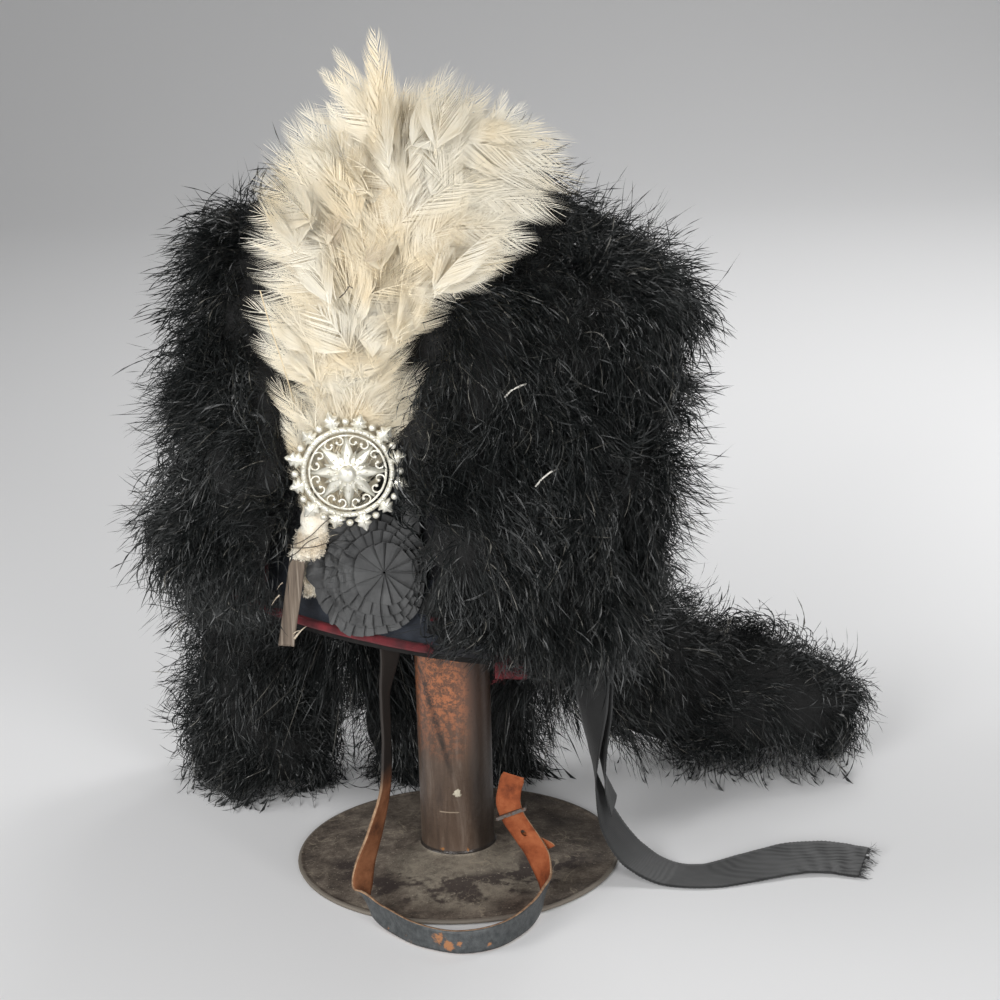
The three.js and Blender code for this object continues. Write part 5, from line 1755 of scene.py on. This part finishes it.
def rosette_tier(tier, seed):
    """One ring of ribbon in knife pleats: each pleat slopes up, then folds back under the next."""
    turn, depth = pleat_folds(np.random.default_rng(seed), ROSETTE["pleats"][tier])
    top_tier = tier == 3
    radius = np.linspace(max(ROSETTE["inner"][tier], 0.04), 1, 12)
    share, turn_grid = grid(radius, turn)
    ends = 1 + 0.03 * np.sin(turn * 5 + seed) + 0.012 * lumps(stack(turn * 30, 0, 0), 8, seed)
    share = np.where(share > 0.98, share * ends[None], share)
    low_gain = 0.35 + 0.65 * smoothstep(radius, radius[0], 1)[:, None]
    x = TIERS["x"][tier] + TIERS["width"][tier] * share * np.cos(turn_grid)
    z = TIERS["z"][tier] + TIERS["height"][tier] * share * np.sin(turn_grid)
    y = ROSETTE["y"] - tier * ROSETTE["step"] - 0.1 - depth[None] * low_gain
    if top_tier:
        y = y + 1.6 * (1 - radius[:, None]) ** 2
    points = stack(x, y, z)
    crumple = smoothstep(-points[..., 0], 46, 74) * (0.3 if top_tier else 1)
    crushed = crumple * np.abs(2.4 * lumps(points, 6, seed + 2))
    points[..., 1] += 0.25 * lumps(points, 10, seed + 1) - crushed
    points[..., 0] += crumple * 1.5 * lumps(points, 7, seed + 3)
    points[..., 2] += crumple * 1.5 * lumps(points, 7, seed + 4)
    return two_sided_ring(points, 0.5)


def two_sided_ring(points, thickness):
    """A ring of cloth: a grid that closes along its second axis, with a back and edges."""
    back = points + [0, thickness, 0]
    count_u, count_v = points.shape[:2]
    front_faces = grid_faces(count_u, count_v, loop_v=True)
    back_faces = front_faces[:, ::-1] + count_u * count_v
    v = np.arange(count_v)
    after = (v + 1) % count_v
    edges = []
    for ring in (0, count_u - 1):
        near = ring * count_v
        far = near + count_u * count_v
        edges.append(np.stack([near + v, near + after, far + after, far + v], -1))
    both = np.concatenate([points.reshape(-1, 3), back.reshape(-1, 3)])
    return both, [front_faces, back_faces, *edges]


def add_rosette():
    for tier in range(4):
        points, faces = rosette_tier(tier, 81 + 7 * tier)
        name, node = f"rosette_ruffle_{tier + 1}", f"rosette_tier_{tier + 1}"
        face_outwards(piece(name, points, faces, ROSETTE_SILK, "silk_ribbon", [node], smooth=False))
    tab = ROSETTE_TAB
    ups, columns = 20, 12
    share, across = grid(np.linspace(0, 1, ups), np.linspace(-1, 1, columns))
    half = tab["width"] / 2 * (1 - 0.75 * smoothstep(share, 0.62, 1.0))
    x = tab["x"] + half * across + 1.5 * share
    z = tab["z"] + tab["height"] * (share - 0.5)
    y = tab["y"] - 0.6 * np.cos(across * 4) - 0.5 * lumps(stack(x, 0, z), 7, 95)
    front = stack(x, y - 0.25, z)
    ring = np.concatenate([front, (front + [0, 0.5, 0])[:, ::-1]], 1)
    faces, _ = band_faces(ups, columns)
    look = ROSETTE_SILK, "silk_ribbon", ["rosette_tab"]
    face_outwards(piece("rosette_ribbon_tab", ring, [faces], *look))


# ---------------------------------------------------------------- stand

STAND_PROFILE = rows(
    "radius z dent",
    (107, 0.0, 0),
    (109.4, 0.7, 0),
    (110, 1.8, 0),
    (109.4, 2.9, 0),
    (107.6, 3.4, 0),
    (105.4, 2.8, 0),
    (103, 3.0, 0.4),
    (95, 3.5, 0.7),
    (80, 4.6, 0.7),
    (66, 6.0, 0.7),
    (56, 7.2, 0.7),
    (45, 8.7, 0.6),
    (31, 10.4, 0.3),
    (27.6, 10.9, 0),
    (26.4, 11.4, 0),
    (25.4, 12.6, 0),
    (25, 14, 0.1),
)
TUBE = {"radius": 25, "bore": 23, "inner_foot": 11}


def add_stand():
    """The dished foot with its rolled edge, and the soldered tube: lathed in one, little dented."""
    top = max(corner[2] for corner in bpy.data.objects["stand"].bound_box) / MM
    around = 120
    index = np.arange(len(STAND_PROFILE["z"]))
    steps = np.linspace(0, index[-1], 4 * index[-1] + 1)
    radius, z, dent = (np.interp(steps, index, column) for column in STAND_PROFILE.values())
    tube = np.linspace(20, top, 12)
    radius = np.concatenate([radius, 0 * tube + TUBE["radius"], [TUBE["bore"]] * 2])
    z = np.concatenate([z, tube, [top, TUBE["inner_foot"]]])
    dent = np.concatenate([dent, 0 * tube + 0.1, [0, 0]])
    ring, angle = grid(np.arange(len(z)), turns(around))
    points = stack(radius[ring] * np.cos(angle), radius[ring] * np.sin(angle), z[ring])
    lifted = dent[ring] * lumps(points, 32, 51)
    on_foot = radius[ring] > TUBE["radius"] + 1
    points[..., 2] += np.where(on_foot, lifted, 0)
    points[..., :2] *= (1 + np.where(on_foot, 0, lifted) / TUBE["radius"])[..., None]
    face_outwards(piece("stand_iron", points, tube_faces(len(z), around), IRON, "iron", ["stand"]))


# ---------------------------------------------------------------- stage, lights and camera


SWEEP = {"half_width": 5000, "near": -3000, "floor_to": 2200, "bend": 2200, "top": 6000}


def add_stage():
    """A pale sweep: floor, and a wall that it curves up into."""
    turn = np.linspace(0.05, 1, 18) * math.pi / 2
    floor_to, bend = SWEEP["floor_to"], SWEEP["bend"]
    curve = floor_to + bend * np.sin(turn)
    depth = np.concatenate([[SWEEP["near"], floor_to], curve, [floor_to + bend]])
    height = np.concatenate([[0, 0], bend * (1 - np.cos(turn)), [SWEEP["top"]]])
    points = stack(SWEEP["half_width"] * np.array([[-1], [1]]), depth[None], height[None])
    n = Nodes("sweep_paper")
    n.set(Base_Color=(0.80, 0.80, 0.805), Roughness=0.9, Specular_IOR_Level=0.1)
    add_mesh("sweep", points, [grid_faces(2, len(depth))], n.material)


def add_light(name, place, target, size, power):
    light = bpy.data.lights.new(name, "AREA")
    light.shape = "RECTANGLE"
    light.size, light.size_y = size
    light.energy = power
    obj = bpy.data.objects.new(name, light)
    obj.location = Vector(place)
    obj.rotation_euler = (Vector(target) - Vector(place)).to_track_quat("-Z", "Y").to_euler()
    bpy.context.scene.collection.objects.link(obj)


# Each light's place, what it is turned to, its size (metres) and its power (watts).
LIGHTS = {
    "key": ((-1.1, -2.3, 1.1), (0, 0, 0.3), (1.2, 1.2), 50),
    "fill": ((1.25, -2.35, 0.95), (0, 0, 0.3), (1.0, 1.0), 35),
    "side": ((-1.6, -0.3, 1.5), (-0.4, 0, 0), (1.0, 1.0), 14),
    "pool_near": ((0.85, 0.75, 1.1), (0.55, 0.8, 0), (0.5, 0.5), 7.5),
    "pool_far": ((0.7, 1.7, 1.5), (0.6, 1.7, 0), (0.6, 0.6), 10),
}


def add_lights():
    for name, values in LIGHTS.items():
        add_light(name, *values)
    world = bpy.data.worlds.new("studio")
    world.use_nodes = True
    background = world.node_tree.nodes["Background"].inputs
    background["Color"].default_value = (1, 1, 1, 1)
    background["Strength"].default_value = 0.1
    bpy.context.scene.world = world


CAMERA = {"place": (35.3, -1755.2, 803.6), "down": 17.4, "roll": 1.7, "lens": 100.6, "sensor": 36}


def add_camera():
    down, roll = math.radians(CAMERA["down"]), math.radians(CAMERA["roll"])
    forward = Vector((0, math.cos(down), -math.sin(down)))
    level_right = Vector((1, 0, 0))
    level_up = level_right.cross(forward)
    right = math.cos(roll) * level_right - math.sin(roll) * level_up
    up = math.sin(roll) * level_right + math.cos(roll) * level_up
    camera = bpy.data.cameras.new("camera")
    camera.lens, camera.sensor_width = CAMERA["lens"], CAMERA["sensor"]
    camera.clip_start, camera.clip_end = 0.05, 30
    obj = bpy.data.objects.new("camera", camera)
    heading = Matrix((right, up, -forward)).transposed().to_4x4()
    obj.matrix_world = Matrix.Translation(Vector(CAMERA["place"]) * MM) @ heading
    bpy.context.scene.collection.objects.link(obj)
    bpy.context.scene.camera = obj


# ---------------------------------------------------------------- everything put together

add_camera()
add_stage()
add_lights()
add_cover_ground()
add_cover_fur()
add_far_fringe()
for tail_seed, tail_name in enumerate(TAILS, 31):
    add_tail(tail_name, tail_seed, TAIL_COUNT)
add_plume()
add_sleeve()
add_plume_cloth()
add_stem()
add_splinters()
add_badge()
add_rosette()
add_stand()
add_band()
add_welt()
add_strap()
add_strap_end()
add_ribbons()

for node_name, node_material in {
    "crown": BLACK_CLOTH,
    "sweatband": BLACK_LEATHER,
    "strap_buckle": STEEL_WIRE,
}.items():
    node_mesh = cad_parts[node_name].data
    node_mesh.materials.clear()
    node_mesh.materials.append(node_material)

view = bpy.context.scene.view_settings
view.view_transform, view.look = "Standard", "None"
